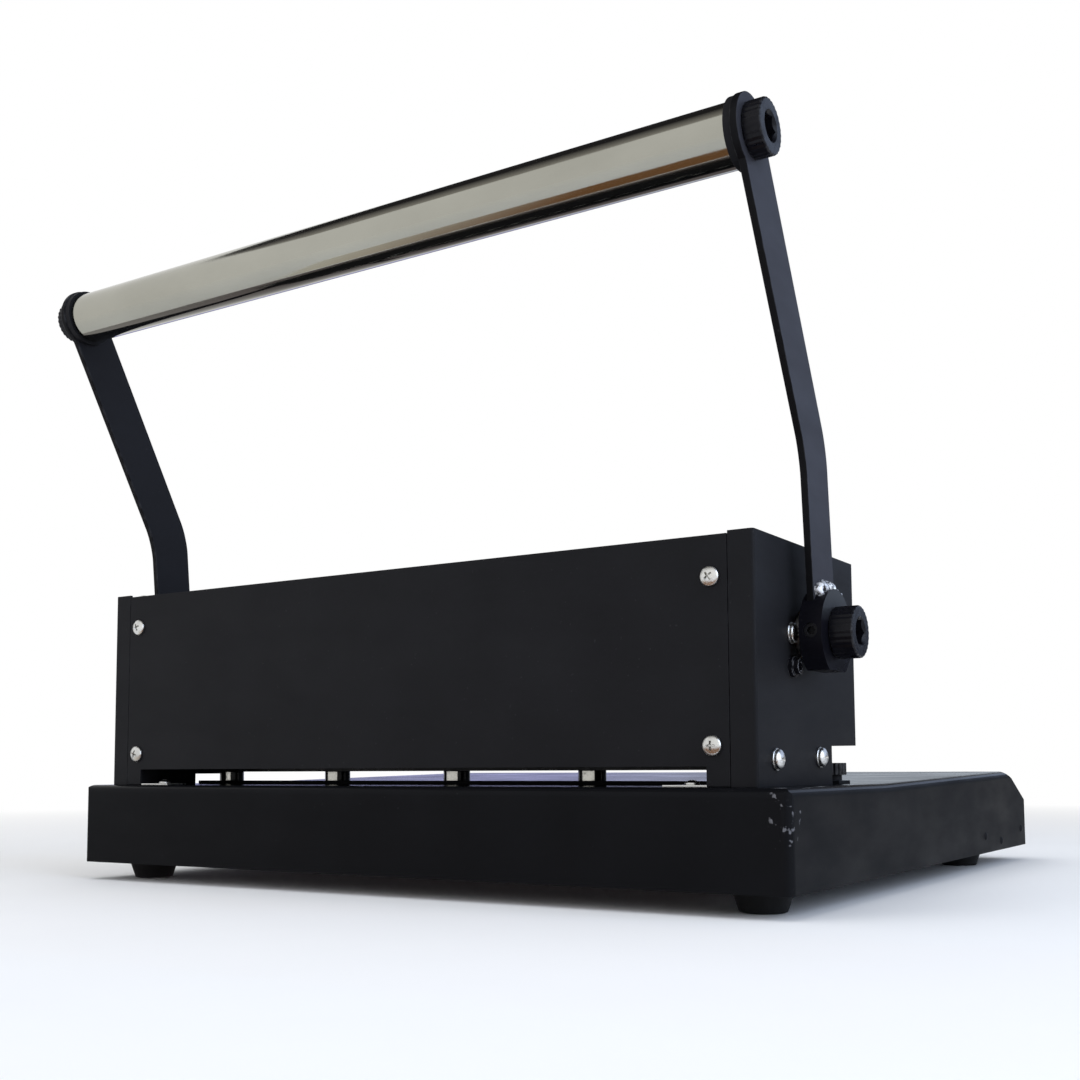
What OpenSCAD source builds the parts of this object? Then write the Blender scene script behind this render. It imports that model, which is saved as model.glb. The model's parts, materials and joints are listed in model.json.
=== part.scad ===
// Comb binding machine: a hand-lever punch and comb opener on a folded sheet base.
// X runs along the head, the paper table lies towards -Y, Z is up and the floor is zero.
// The head frame has its zero on the outer face of the rear panel, at the top of the base.
// Left and right are as seen from behind, so that left is towards +X.

/* [Base] */
// Width of the base along the head
base_w = 394; // [384:1:420]
// Depth of the base from rear wall to front lip
base_d = 382; // [330:0.5:420]
// Height of the base without its feet
base_h = 40; // [40:1:60]
// Thickness of every folded sheet
sheet_t = 1.5; // [1.2:0.1:2]
// Outer radius of the folded edges
bend_r = 4; // [2.5:0.5:6]
// Depth of the sloped front edge
slope_d = 48; // [12:1:60]
// Drop of the sloped front edge
slope_h = 14; // [8:1:22]
// Diameter of a foot where it meets the base
foot_d = 25; // [22:0.5:30]
// Diameter of a foot on the floor
foot_tip_d = 19.5; // [16:0.5:22]
// Height of a foot
foot_h = 9; // [8:0.5:14]
// Distance from a foot's axis to the base's side
foot_side = 23; // [18:1:30]
// Distance from a rear foot's axis to the base's rear
foot_rear = 27.5; // [18:0.5:30]
// Distance from a front foot's axis to the base's front
foot_front = 68.5; // [40:0.5:90]

/* [Head] */
// How far the base stands out on each side of the head
base_beyond = 15; // [9:0.5:25]
// Height of the side covers above the base
head_h = 99.5; // [98:0.5:110]
// Depth of the head at its overhang
head_d = 113; // [111:1:125]
// Depth of the head below its overhang
lower_d = 81; // [80:0.5:86]
// Height of the overhang above the base
overhang_z = 17; // [15:0.5:20]
// Width of the flanges round the edge of a side cover
flange_w = 11; // [8:0.5:12]
// How far the base stands out behind the head
base_behind = 5.5; // [1:0.5:8]
// Height of the open slot under the rear panel
slot_z = 8; // [7:0.5:9]
// Width of the legs of the rear panel beside the slot
panel_leg = 10; // [4:0.5:14]
// Drop of the panels below the top of the side covers
panel_drop = 1; // [0.5:0.1:2]
// Thickness of the steel end frames
frame_t = 12; // [11:0.5:14]
// Side of the square posts that carry the panels
post_w = 12; // [11:0.5:14]
// Thread of the panel and cover screws
cover_screw_d = 4; // [3:0.5:4]

/* [Punch] */
// Distance between neighbouring comb holes
hole_pitch = 14.2875; // [12:0.0125:18]
// Length of a comb hole along the sheet
hole_w = 8; // [6:0.5:9]
// Depth of a comb hole
hole_d = 3; // [2:0.5:4]
// Height of the throat that takes the sheets
throat_h = 6.5; // [4.8:0.1:7]
// Thickness of the die plate
die_t = 10; // [8:0.5:11]
// Height of the block that guides the pins
guide_h = 10.5; // [10:0.5:13]
// Distance from the head's rear face to the row of pins
pin_setback = 69; // [68:0.5:70]
// Distance from the head's rear face to the rear of the die
die_setback = 45; // [40:1:46]
// Height of the beam that drives the pins
beam_h = 18; // [17:0.5:20]
// Depth of the beam that drives the pins
beam_d = 18; // [17:0.5:18]
// Diameter of the rods that guide the beam
rod_d = 8; // [6:0.5:8]
// Outer diameter of a return spring
spring_d = 13; // [12:0.5:13.5]

/* [Handle] */
// Distance from the head's rear face to the drive shaft
shaft_setback = 50; // [48:0.5:52]
// Height of the drive shaft above the base
shaft_z = 62; // [60:0.5:66]
// Diameter of the drive shaft
shaft_d = 18; // [14:0.5:18]
// Swing of the handle from its rest to its front stop
handle_swing = 75; // [50:1:75]
// Teeth of a drive pinion
pinion_teeth = 16; // [15:1:16]
// Module of the drive pinions and their racks
pinion_module = 1.5; // [1.4:0.05:1.5]
// Width of an arm bar
arm_w = 24; // [16:0.5:26]
// Thickness of an arm bar
arm_t = 3; // [3:0.5:5]
// Gap between a side cover and its arm hub
arm_gap = 5; // [4.6:0.1:8]
// How far an arm bar stands outside the inner face of its hub
arm_step = 2; // [0:0.5:2]
// Height of the bend in an arm above the shaft
bend_rise = 74.4; // [60:0.1:90]
// How far the bend in an arm lies behind the shaft
bend_back = 6.8; // [0:0.1:20]
// Height of the handle bar above the shaft
bar_rise = 185.3; // [150:0.1:220]
// How far the handle bar lies behind the shaft
bar_back = 67.5; // [40:0.1:90]
// Outer diameter of the handle bar
bar_d = 25; // [20:0.5:28]
// Wall of the handle bar
bar_wall = 1.5; // [1:0.1:2.5]
// Diameter of the eye at the top of an arm
eye_d = 29; // [26:0.5:34]
// Diameter of an arm hub
hub_d = 36; // [32:0.5:40]
// Thickness of an arm hub
hub_t = 9.5; // [8:0.5:14]
// Distance from the shaft to the flat under a hub
hub_flat = 15.5; // [13:0.5:16]
// Diameter of the large socket heads
cap_d = 21.5; // [20:0.5:23]
// Length of a socket head on a hub
hub_cap_l = 10; // [7:0.5:14]
// Length of a socket head on the handle bar
bar_cap_l = 7.6; // [7:0.1:14]
// Thread of the large socket screws
cap_thread_d = 10; // [8:0.5:10]
// Hexagon of the large socket screws across flats
cap_key = 10; // [8:0.5:12]

/* [Comb opener] */
// Distance from the head's front face to the opener shaft
comb_front = 25; // [24:0.5:26]
// Diameter of the opener shaft
comb_shaft_d = 10; // [8:0.5:10]
// Teeth in a full turn of a sector gear
sector_teeth = 32; // [30:1:32]
// Module of the sector gears and their racks
sector_module = 1.25; // [1.2:0.05:1.25]
// Swing of the opener lever
lever_swing = 45; // [30:1:45]
// Length of the opener lever from its shaft
lever_l = 95; // [70:1:110]
// Width of the opener lever bar
lever_w = 10; // [8:0.5:10]
// Thickness of the opener lever bar
lever_t = 6; // [4:0.5:6]
// Rise of the resting lever above level
lever_rise = 25; // [15:1:25]
// Height of the tines and hooks above the top cover
tine_h = 9.5; // [6:0.5:12]
// Width of a tine
tine_w = 5; // [4:0.5:6]
// Width of a hook
hook_w = 4.5; // [3:0.5:5]

/* [Chip drawer] */
// Width of the chip drawer across its travel
drawer_w = 64; // [60:1:70]
// Height of the chip drawer
drawer_h = 24.2; // [16:0.1:25]
// Wall of the chip drawer
drawer_wall = 1.2; // [0.8:0.1:2]

/* [Edge guide] */
// Width of the edge guide at its clamp
guide_block_w = 11; // [10:0.5:12]
// Depth of the edge guide
edge_guide_d = 14; // [12:0.5:15]
// Travel of the edge guide each way from its rest
edge_travel = 3; // [1:0.5:3]

/* [Hidden] */

// Small cut-through margin for holes
cut = 1;
// Gap between pieces that pass or face each other loosely
loose = 0.3;
// Radial clearance of a shaft in its bush
running = 0.05;
// Facets asked of round shapes
$fn = 64;

// Planes of the base, in the head frame
half_base = base_w / 2;
base_rear = base_behind;
base_front = base_behind - base_d;
slope_angle = atan2(slope_h, slope_d);
plate_top = sheet_t - base_h;
foot_x = half_base - foot_side;
foot_ys = [base_rear - foot_rear, base_front + foot_front];
foot_screw_d = 4;
foot_head_h = 2.5;
foot_seat = 4;
tab_w = 24;

// Planes of the head
head_w = base_w - 2 * base_beyond;
half_head = head_w / 2;
cover_in = half_head - sheet_t;
frame_in = cover_in - frame_t;
post_in = frame_in - post_w;
panel_half = half_head - flange_w - loose;
slot_half = panel_half - panel_leg;
panel_top = head_h - panel_drop;
frame_top = panel_top - sheet_t;
frame_rear = -sheet_t;
frame_front = sheet_t - head_d;
frame_low_front = sheet_t - lower_d;
frame_step = overhang_z + sheet_t;

// Shaft, pinion and stroke
shaft_y = -shaft_setback;
pinion_r = pinion_module * pinion_teeth / 2;
rack_pitch = PI * pinion_module;
stroke = pinion_r * handle_swing * PI / 180;
pressure = 20;
backlash = 0.2;
pinion_addendum = 0.9;
rack_addendum = 0.7;
tooth_floor = 0.25;
pinion_w = 10;
bush_wall = 2;
bush_flange = 2;
bush_flange_rim = 4.5;

// Punch pins, rods and springs
pin_y = -pin_setback;
die_rear = -die_setback;
guide_z = throat_h;
guide_top = guide_z + guide_h;
mouth_h = throat_h - 1;
rod_inset = 12.5;
rod_past = 6;
rod_x = frame_in - rod_inset;
spring_play = 0.75;
pocket_d = spring_d + 1;
pocket_h = 14;
beam_spare = 0.8;
beam_z = guide_top + stroke + beam_spare;
beam_top = beam_z + beam_h;
beam_end_gap = 3.5;
beam_half = frame_in - beam_end_gap;
pin_lift = 0.5;
pin_hold = 6;
pin_reach = rod_x - pocket_d / 2 - hole_w / 2 - 0.1;
pin_side = floor(pin_reach / hole_pitch);
pin_xs = [for (i = [-pin_side : pin_side]) i * hole_pitch];
rack_inset = 26;
rack_x = rod_x - rack_inset;
rack_last = floor(stroke / rack_pitch + 1);
rack_back = 10;
rack_tenon = 6;
spacer_d = 13;
spacer_gap = 4;
spacer_y = pin_y + hole_d / 2 + spacer_gap + spacer_d / 2;
spacer_inset = 3;
spacer_step = (rod_x - spacer_inset) / 2;
spacer_xs = [for (i = [-2 : 2]) i * spacer_step];
die_bolt_d = 5;
die_bolt_head = 4;

// Strips at the ends of the rear slot
shim_t = 0.8;
shim_l = 19.5;
shim_setback = 0.4;
shim_screw_d = 3;
tine_screw_d = 3;

// Handle arms
hub_in = half_head + arm_gap;
hub_out = hub_in + hub_t;
arm_in = hub_in + arm_step;
arm_out = arm_in + arm_t;
bend_y = shaft_y + bend_back;
bend_z = shaft_z + bend_rise;
bar_y = shaft_y + bar_back;
bar_z = shaft_z + bar_rise;
weld_spread = 96;
set_screw_d = 6;
set_screw_key = 3;
cap_reach = 18;
plug_l = 25;
plug_rim_t = 3;
plug_rim_d = eye_d - 1;
bar_half = arm_in - plug_rim_t;

// Comb opener
comb_y = comb_front - head_d;
sector_r = sector_module * sector_teeth / 2;
sector_pitch = PI * sector_module;
hook_t = 2;
hook_drop = 2;
hook_rack_h = 3;
hook_z = frame_top - hook_t - hook_drop;
comb_z = hook_z - hook_rack_h - sector_r;
comb_travel = sector_r * lever_swing * PI / 180;
sector_w = 6;
sector_inset = 37;
sector_x = rack_x - sector_inset;
sector_hub_wall = 4;
sector_hub_d = comb_shaft_d + 2 * sector_hub_wall;
comb_bush_wall = 2;
comb_bush_d = comb_shaft_d + 2 * comb_bush_wall;
hook_lead = 1.5;
hook_y = comb_y - hook_lead;
hook_lip = 3;
groove_h = 3.5;
tine_t = 1.5;
tine_gap = 1.5;
tine_y = hook_y + hook_t + tine_gap;
tine_top = panel_top + tine_h;
tine_foot = 22;
lever_x = pin_side * hole_pitch;
lever_hub_wall = 5;
lever_hub_d = comb_shaft_d + 2 * lever_hub_wall;
grip_l = 42;
grip_d = 17;
grip_past = 3;
grip_neck = 8;
grip_swell = 12;
grip_round = 5;

// Chip drawer under the die
drawer_forward = 6;
drawer_y = (die_rear + frame_low_front) / 2 - drawer_forward;
drawer_z = plate_top + loose;
drawer_past = 4;
drawer_back = -(rod_x + drawer_past);
drawer_face_t = 2;
drawer_rim = 4;
rail_t = 3;
rail_h = 12;
pull_w = 52;
pull_d = 7;
pull_h = 12;

// Edge guide on the table beside the -X end frame
edge_inset = 0.5;
edge_gap = 2;
edge_forward = 14;
edge_x = -(cover_in - guide_block_w / 2 - edge_inset);
edge_y = -(lower_d + edge_forward + edge_guide_d / 2);
edge_foot_t = 1.5;
edge_collar_h = 4;
edge_collar_d = 8;
edge_knob_h = 5.3;
edge_knob_d = guide_block_w + 1;
edge_fence = -(pin_side * hole_pitch + hole_w / 2 + edge_gap);
edge_screw_d = 4;
edge_slot = edge_screw_d / 2 + loose;
edge_fence_t = 2.5;
edge_nut_t = 3;
edge_nut_d = 9;

// Places of the screws
panel_screw_inset = 7.2;
panel_screw_x = panel_half - panel_screw_inset;
panel_screw_zs = [16, panel_top - 16.5];
front_screw_zs = [overhang_z + 13, comb_z + 14];
cover_screw_reach = 6;
cover_screw_yz = [[-36.5, 61.7], [-18.2, 10.6], [-66, 11.6]];
bearing_yz = [shaft_y + 13.5, shaft_z - 14];
bearing_d = 5;
bearing_head_d = 8.5;
bearing_head_l = 4;
bearing_key = 4;
bearing_reach = 9;
top_screw_inset = 13;
top_screw_ys = [1 - top_screw_inset, top_screw_inset - head_d];
frame_bolt_ys = [-14, -36];
frame_bolt_d = 6;
frame_bolt_reach = 6;
frame_bolt_head_d = 10;
frame_bolt_head = 5;
frame_bolt_key = 5;
block_screw_d = 4;
block_screw_reach = 6;
block_screw_inset = block_screw_d + 1;
block_screw_ys = [die_rear - block_screw_inset, frame_low_front + block_screw_inset];
rivet_yz = [[base_front + 98.5, 9], [base_front + 63.5, 5], [base_front + 14.5, 10]];
rivet_d = 3;
rivet_head_d = 4.4;
rivet_head_h = 1;
brace_t = 2;
brace_l = 106;
brace_h = 13;

// The head frame sits so that the whole machine is centred on the origin
reach_rear = max(bar_y + eye_d / 2, base_rear);
head_y = -(reach_rear + base_front) / 2;
head_z = foot_h + base_h;

// Colours of the finishes
black_coat = "#23252a";
black_oxide = "#141517";
zinc = "#c9ccd0";
chrome = "#d8d6cc";
steel = "#8f9398";
bronze = "#a8874f";
rubber = "#18181a";

// Moves children from the head frame to the floor frame
module in_head() {
  translate([0, head_y, head_z])
    children();
}

// Draws children on both sides of the middle plane
module both_sides() {
  children();
  mirror([1, 0, 0])
    children();
}

// Extrudes an outline drawn in Y and Z from x0 towards +X
module along_x(x0, length) {
  translate([x0, 0, 0])
    rotate([90, 0, 90])
      linear_extrude(length)
        children();
}

// Extrudes an outline drawn in X and Z from y0 towards -Y
module along_y(y0, length) {
  translate([0, y0, 0])
    rotate([90, 0, 0])
      linear_extrude(length)
        children();
}

// Box between two corners
module block(a, b) {
  translate(a)
    cube(b - a);
}

// Turns a piece drawn along +Z so that it points along +X
module to_right() {
  rotate([0, 90, 0])
    children();
}

// Turns a piece drawn along +Z so that it points along +Y
module to_rear() {
  rotate([-90, 0, 0])
    children();
}

// Turns a piece drawn along +Z so that it points along -Y
module to_front() {
  rotate([90, 0, 0])
    children();
}

// Cross-recess screw with a domed head on z = 0 and its shank below
module pan_screw(d, length) {
  head_r = d;
  head_h = 0.66 * d;
  rim_h = 0.25 * d;
  recess_l = 1.2 * d;
  recess_w = 0.22 * d;
  recess_h = 0.3 * d;
  dome = [for (a = [0 : 15 : 75]) [head_r * cos(a), rim_h + (head_h - rim_h) * sin(a)]];
  difference() {
    rotate_extrude()
      polygon(concat([[0, -length], [d / 2, -length], [d / 2, 0], [head_r, 0]], dome, [[0, head_h]]));
    for (turn = [0, 90])
      rotate(turn)
        translate([-recess_l / 2, -recess_w / 2, head_h - recess_h])
          cube([recess_l, recess_w, d]);
  }
}

// Plain washer lying on z = 0
module washer(bore, outer, thick) {
  difference() {
    cylinder(d = outer, h = thick);
    translate([0, 0, -cut])
      cylinder(d = bore, h = thick + 2 * cut);
  }
}

// Outline of a ribbed socket head
module ribbed_disc(d, ribs, depth) {
  steps = 4 * ribs;
  polygon([
    for (i = [0 : steps - 1])
      let (r = d / 2 - (i % 4 < 2 ? 0 : depth), a = i * 360 / steps)
        [r * cos(a), r * sin(a)]
  ]);
}

// Socket screw with its head above z = 0 and its shank below
module socket_screw(head_d, head_l, d, length, key, ribs) {
  difference() {
    union() {
      linear_extrude(head_l)
        ribbed_disc(head_d, ribs, 0.02 * head_d);
      translate([0, 0, -length])
        cylinder(d = d, h = length + cut);
    }
    translate([0, 0, 0.4 * head_l])
      cylinder(d = key / cos(30), h = head_l, $fn = 6);
  }
}

// Angle between the radius and the involute at a pressure angle, in degrees
function involute(a) = tan(a) * 180 / PI - a;

// Half angle of a tooth at radius r on a gear of pitch radius pr
function tooth_half(pr, r, thick) =
  let (base = pr * cos(pressure), a = acos(min(1, base / r)))
    thick / 2 / pr * 180 / PI + involute(pressure) - involute(a);

function polar(r, a) = [r * cos(a), r * sin(a)];

// Unit vector square to a direction, on its left
function across(v) = [-v[1], v[0]] / norm(v);

// Points of one tooth centred on angle at
function tooth(pr, m, at) =
  let (
    thick = PI * m / 2 - backlash / 2,
    root = pr - (rack_addendum + tooth_floor) * m,
    low = max(root, pr * cos(pressure) + 0.01),
    high = pr + pinion_addendum * m,
    steps = 4,
    rs = [for (i = [0 : steps]) low + (high - low) * i / steps]
  )
    concat(
      [polar(root, at - tooth_half(pr, low, thick))],
      [for (i = [0 : steps]) polar(rs[i], at - tooth_half(pr, rs[i], thick))],
      [for (i = [steps : -1 : 0]) polar(rs[i], at + tooth_half(pr, rs[i], thick))],
      [polar(root, at + tooth_half(pr, low, thick))]
    );

// Outline of a gear with a tooth gap facing the angle facing
module gear_outline(teeth, m, facing) {
  pr = teeth * m / 2;
  polygon([
    for (i = [0 : teeth - 1])
      each tooth(pr, m, facing + (i + 0.5) * 360 / teeth)
  ]);
}

// Outline of rack teeth along +Y that point towards +X, from tooth first to tooth last
module rack_teeth(m, first, last) {
  half = PI * m / 4 - backlash / 4;
  tip = rack_addendum * m;
  root = (pinion_addendum + tooth_floor) * m;
  for (i = [first : last])
    translate([0, i * PI * m])
      polygon([
        [-root - 0.1, -half - root * tan(pressure)],
        [-root, -half - root * tan(pressure)],
        [tip, -half + tip * tan(pressure)],
        [tip, half - tip * tan(pressure)],
        [-root, half + root * tan(pressure)],
        [-root - 0.1, half + root * tan(pressure)]
      ]);
}

// Side outline of the base, drawn in by inset, in Y and Z
module base_side_outline(inset) {
  r = bend_r - inset;
  rear = base_rear - inset;
  front = base_front + inset;
  top = -inset;
  low = -base_h - (inset > 0 ? cut : 0);
  slope_top = base_front + slope_d + inset * tan(slope_angle / 2);
  slope_low = -slope_h - inset * tan(45 - slope_angle / 2);
  polygon([
    [rear, low], [rear, top - r], [rear - r, top],
    [slope_top, top], [front, slope_low], [front, low]
  ]);
  translate([rear - r, top - r])
    circle(r);
}

// End outline of the base, drawn in by inset, in X and Z
module base_end_outline(inset) {
  r = bend_r - inset;
  side = half_base - inset;
  top = -inset;
  low = -base_h - (inset > 0 ? cut : 0);
  polygon([[-side, low], [-side, top - r], [r - side, top], [side - r, top], [side, top - r], [side, low]]);
  for (s = [-1, 1])
    translate([s * (side - r), top - r])
      circle(r);
}

// Plan outline of the base, drawn in by inset
module base_plan_outline(inset) {
  r = bend_r - inset;
  side = half_base - inset;
  rear = base_rear - inset;
  front = base_front + inset;
  translate([-side, front + r])
    square([2 * side, rear - front - 2 * r]);
  translate([r - side, front])
    square([2 * side - 2 * r, rear - front]);
  for (x = [r - side, side - r], y = [front + r, rear - r])
    translate([x, y])
      circle(r);
}

// Solid shape of the base, drawn in by inset
module base_shape(inset) {
  intersection() {
    along_x(-half_base, base_w)
      base_side_outline(inset);
    along_y(base_rear, base_d)
      base_end_outline(inset);
    translate([0, 0, -base_h - 2 * cut])
      linear_extrude(base_h + 3 * cut)
        base_plan_outline(inset);
  }
}

// Places of the foot screws, on the underside of the base
module at_feet() {
  for (x = [-foot_x, foot_x], y = foot_ys)
    translate([x, y, -base_h])
      children();
}

// Places of the bolts that hold the end frames to the base
module at_frame_bolts() {
  for (s = [-1, 1], y = frame_bolt_ys)
    translate([s * (frame_in + frame_t / 2), y, -sheet_t])
      children();
}

// Places of the rivets in the side walls of the base
module at_rivets() {
  both_sides()
    for (p = rivet_yz)
      translate([half_base, p[0], p[1] - base_h])
        to_right()
          children();
}

// Places of the shim screws
module at_shim_screws() {
  for (s = [-1, 1])
    translate([s * (slot_half - shim_l / 2), -post_w / 2 - sheet_t, shim_t])
      children();
}

// Folded sheet tray with the table on top and four tabs for the feet
module base_pan() {
  color(black_coat)
    in_head()
      difference() {
        union() {
          difference() {
            base_shape(0);
            base_shape(sheet_t);
          }
          both_sides()
            for (y = foot_ys)
              block(
                [foot_x - tab_w / 2, y - tab_w / 2, plate_top],
                [half_base - sheet_t / 2, y + tab_w / 2, plate_top + sheet_t]
              );
        }
        block([-frame_in, frame_low_front - loose, -die_t], [frame_in, die_rear + loose, cut]);
        block(
          [half_base - 2 * bend_r, drawer_y - drawer_w / 2 - loose, plate_top],
          [half_base + cut, drawer_y + drawer_w / 2 + loose, drawer_z + drawer_h + loose]
        );
        at_feet()
          cylinder(d = foot_screw_d, h = 3 * sheet_t);
        at_frame_bolts()
          translate([0, 0, -cut])
            cylinder(d = frame_bolt_d + loose, h = sheet_t + 2 * cut);
        at_rivets()
          translate([0, 0, -3 * sheet_t])
            cylinder(d = rivet_d, h = 4 * sheet_t);
        at_shim_screws()
          translate([0, 0, -shim_t - sheet_t - cut])
            cylinder(d = shim_screw_d, h = sheet_t + 2 * cut);
        block(
          [edge_x - edge_travel - edge_slot, edge_y - edge_slot, -sheet_t - cut],
          [edge_x + edge_travel + edge_slot, edge_y + edge_slot, cut]
        );
      }
}

// Flat plate that closes the base from below
module bottom_plate() {
  side = half_base - sheet_t - loose;
  color(black_coat)
    in_head()
      difference() {
        block([-side, base_front + sheet_t + loose, -base_h], [side, base_rear - sheet_t - loose, plate_top]);
        for (x = [-side, side], y = [base_front + sheet_t + loose, base_rear - sheet_t - loose])
          translate([x, y, -base_h])
            rotate(45)
              cube([2 * bend_r, 2 * bend_r, 4 * sheet_t], center = true);
        at_feet()
          translate([0, 0, -cut])
            cylinder(d = foot_screw_d + loose, h = sheet_t + 2 * cut);
      }
}

// Tapered rubber feet
module feet() {
  color(rubber)
    in_head()
      at_feet()
        difference() {
          translate([0, 0, -foot_h])
            cylinder(d1 = foot_tip_d, d2 = foot_d, h = foot_h);
          translate([0, 0, -foot_h - cut])
            cylinder(d = 2 * foot_screw_d + 1, h = foot_h - foot_seat + cut);
          translate([0, 0, -foot_h])
            cylinder(d = foot_screw_d + loose, h = foot_h + cut);
        }
}

// Screws that hold the feet, the bottom plate and the pan together
module foot_screws() {
  color(zinc)
    in_head()
      at_feet()
        translate([0, 0, -foot_seat])
          mirror([0, 0, 1])
            pan_screw(foot_screw_d, foot_seat + 3 * sheet_t);
}

// Flat strips riveted inside the front of the side walls
module wall_braces() {
  color(steel)
    in_head()
      difference() {
        both_sides()
          block(
            [half_base - sheet_t - brace_t, base_front + bend_r + sheet_t, plate_top + sheet_t + loose],
            [half_base - sheet_t, base_front + brace_l, plate_top + brace_h]
          );
        at_rivets()
          translate([0, 0, -sheet_t - brace_t - cut])
            cylinder(d = rivet_d, h = sheet_t + brace_t + 2 * cut);
      }
}

// Rivets through the side walls and the braces
module brace_rivets() {
  color(black_coat)
    in_head()
      at_rivets() {
        translate([0, 0, -sheet_t - brace_t])
          cylinder(d = rivet_d, h = sheet_t + brace_t);
        rotate_extrude()
          polygon([
            [0, 0], [rivet_head_d / 2, 0], [0.45 * rivet_head_d, 0.5 * rivet_head_h],
            [0.27 * rivet_head_d, 0.9 * rivet_head_h], [0, rivet_head_h]
          ]);
      }
}

// Side outline of an end frame in Y and Z
module frame_outline() {
  polygon([
    [frame_rear, 0], [frame_rear, frame_top], [frame_front, frame_top],
    [frame_front, frame_step], [frame_low_front, frame_step], [frame_low_front, 0]
  ]);
}

// Places of the side cover screws on the +X half, pointing outwards
module at_cover_screws() {
  for (p = cover_screw_yz)
    translate([half_head, p[0], p[1]])
      to_right()
        children();
}

// Place of the bearing screw on the +X half, pointing outwards
module at_bearing_screw() {
  translate([half_head, bearing_yz[0], bearing_yz[1]])
    to_right()
      children();
}

// Places of the guide block screws on the +X half, pointing outwards
module at_block_screws() {
  for (y = block_screw_ys)
    translate([cover_in, y, guide_z + guide_h / 2])
      to_right()
        children();
}

// Open end of the throat through the frame and cover on the +X side
module throat_mouth() {
  block([frame_in - cut, -head_d, -cut], [half_head + cut, die_rear, mouth_h]);
}

// End frame on the +X side
module end_frame() {
  bush_bore = shaft_d + 2 * running + 2 * bush_wall;
  difference() {
    along_x(frame_in, frame_t)
      frame_outline();
    translate([frame_in - cut, shaft_y, shaft_z])
      to_right()
        cylinder(d = bush_bore, h = frame_t + 2 * cut);
    translate([frame_in - cut, comb_y, comb_z])
      to_right()
        cylinder(d = comb_bush_d, h = frame_t + 2 * cut);
    block(
      [frame_in - cut, frame_front - cut, hook_z - 0.1],
      [frame_in + groove_h + loose, tine_y + tine_foot + 8, hook_z + hook_t + 0.1]
    );
    at_cover_screws()
      translate([0, 0, -sheet_t - cover_screw_reach - 2 * cut])
        cylinder(d = cover_screw_d, h = cover_screw_reach + 3 * cut);
    at_bearing_screw()
      translate([0, 0, -sheet_t - bearing_reach - cut])
        cylinder(d = bearing_d, h = bearing_reach + 2 * cut);
    at_block_screws() {
      translate([0, 0, -frame_t - cut])
        cylinder(d = block_screw_d + loose, h = frame_t + 2 * cut);
      translate([0, 0, -block_screw_d])
        cylinder(d = 2 * block_screw_d + 1, h = block_screw_d + cut);
    }
    at_frame_bolts()
      cylinder(d = frame_bolt_d, h = sheet_t + frame_bolt_reach + cut);
    at_top_screws()
      translate([0, 0, -sheet_t - cover_screw_reach - cut])
        cylinder(d = cover_screw_d, h = cover_screw_reach + sheet_t + 2 * cut);
  }
}

module frame_left() {
  color(black_coat)
    in_head()
      difference() {
        end_frame();
        throat_mouth();
      }
}

module frame_right() {
  color(black_coat)
    in_head()
      mirror([1, 0, 0])
        end_frame();
}

// Bolts from inside the base up into the end frames
module frame_bolts() {
  color(zinc)
    in_head()
      at_frame_bolts()
        mirror([0, 0, 1])
          socket_screw(
            frame_bolt_head_d, frame_bolt_head, frame_bolt_d, sheet_t + frame_bolt_reach, frame_bolt_key, 24
          );
}

// Square posts behind the rear panel, narrowed beside the slot
module rear_posts() {
  neck_top = slot_z + 2;
  neck_w = post_w / 2 + 0.5;
  color(black_coat)
    in_head()
      difference() {
        both_sides() {
          block([post_in, frame_rear - post_w, neck_top], [frame_in, frame_rear, frame_top]);
          block([frame_in - neck_w, frame_rear - post_w, 0], [frame_in, frame_rear, neck_top + cut]);
        }
        at_panel_screws()
          translate([0, 0, -sheet_t - cover_screw_reach - cut])
            cylinder(d = cover_screw_d, h = cover_screw_reach + 2 * cut);
      }
}

// Square posts behind the front cover
module front_posts() {
  color(black_coat)
    in_head()
      difference() {
        both_sides()
          block([post_in, frame_front, frame_step], [frame_in, frame_front + post_w, hook_z - 1]);
        at_front_screws()
          translate([0, 0, -sheet_t - cover_screw_reach - cut])
            cylinder(d = cover_screw_d, h = cover_screw_reach + 2 * cut);
      }
}

// Bare steel strips at the ends of the rear slot
module post_shims() {
  color(zinc)
    in_head()
      difference() {
        both_sides()
          block([slot_half - shim_l, frame_rear - post_w, 0], [slot_half, -shim_setback, shim_t]);
        at_shim_screws()
          translate([0, 0, -shim_t - cut])
            cylinder(d = shim_screw_d, h = shim_t + 2 * cut);
      }
}

module shim_screws() {
  color(zinc)
    in_head()
      at_shim_screws()
        pan_screw(shim_screw_d, shim_t + sheet_t + 2);
}

// Places of the rear panel screws, pointing to the rear
module at_panel_screws() {
  for (x = [-panel_screw_x, panel_screw_x], z = panel_screw_zs)
    translate([x, 0, z])
      to_rear()
        children();
}

// Places of the front cover screws, pointing to the front
module at_front_screws() {
  for (x = [-panel_screw_x, panel_screw_x], z = front_screw_zs)
    translate([x, -head_d, z])
      to_front()
        children();
}

// Places of the top cover screws
module at_top_screws() {
  for (s = [-1, 1], y = top_screw_ys)
    translate([s * (frame_in + frame_t / 2), y, panel_top])
      children();
}

// Places of the tine screws
module at_tine_screws() {
  for (x = [-sector_x, 0, sector_x])
    translate([x, tine_y + tine_foot - 6, panel_top])
      children();
}

// Rear sheet with a leg on each side of the slot
module rear_panel() {
  color(black_coat)
    in_head()
      difference() {
        block([-panel_half, -sheet_t, loose], [panel_half, 0, panel_top]);
        block([-slot_half, -sheet_t - cut, 0], [slot_half, cut, slot_z]);
        at_panel_screws()
          translate([0, 0, -sheet_t - cut])
            cylinder(d = cover_screw_d + loose, h = sheet_t + 2 * cut);
      }
}

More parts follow.
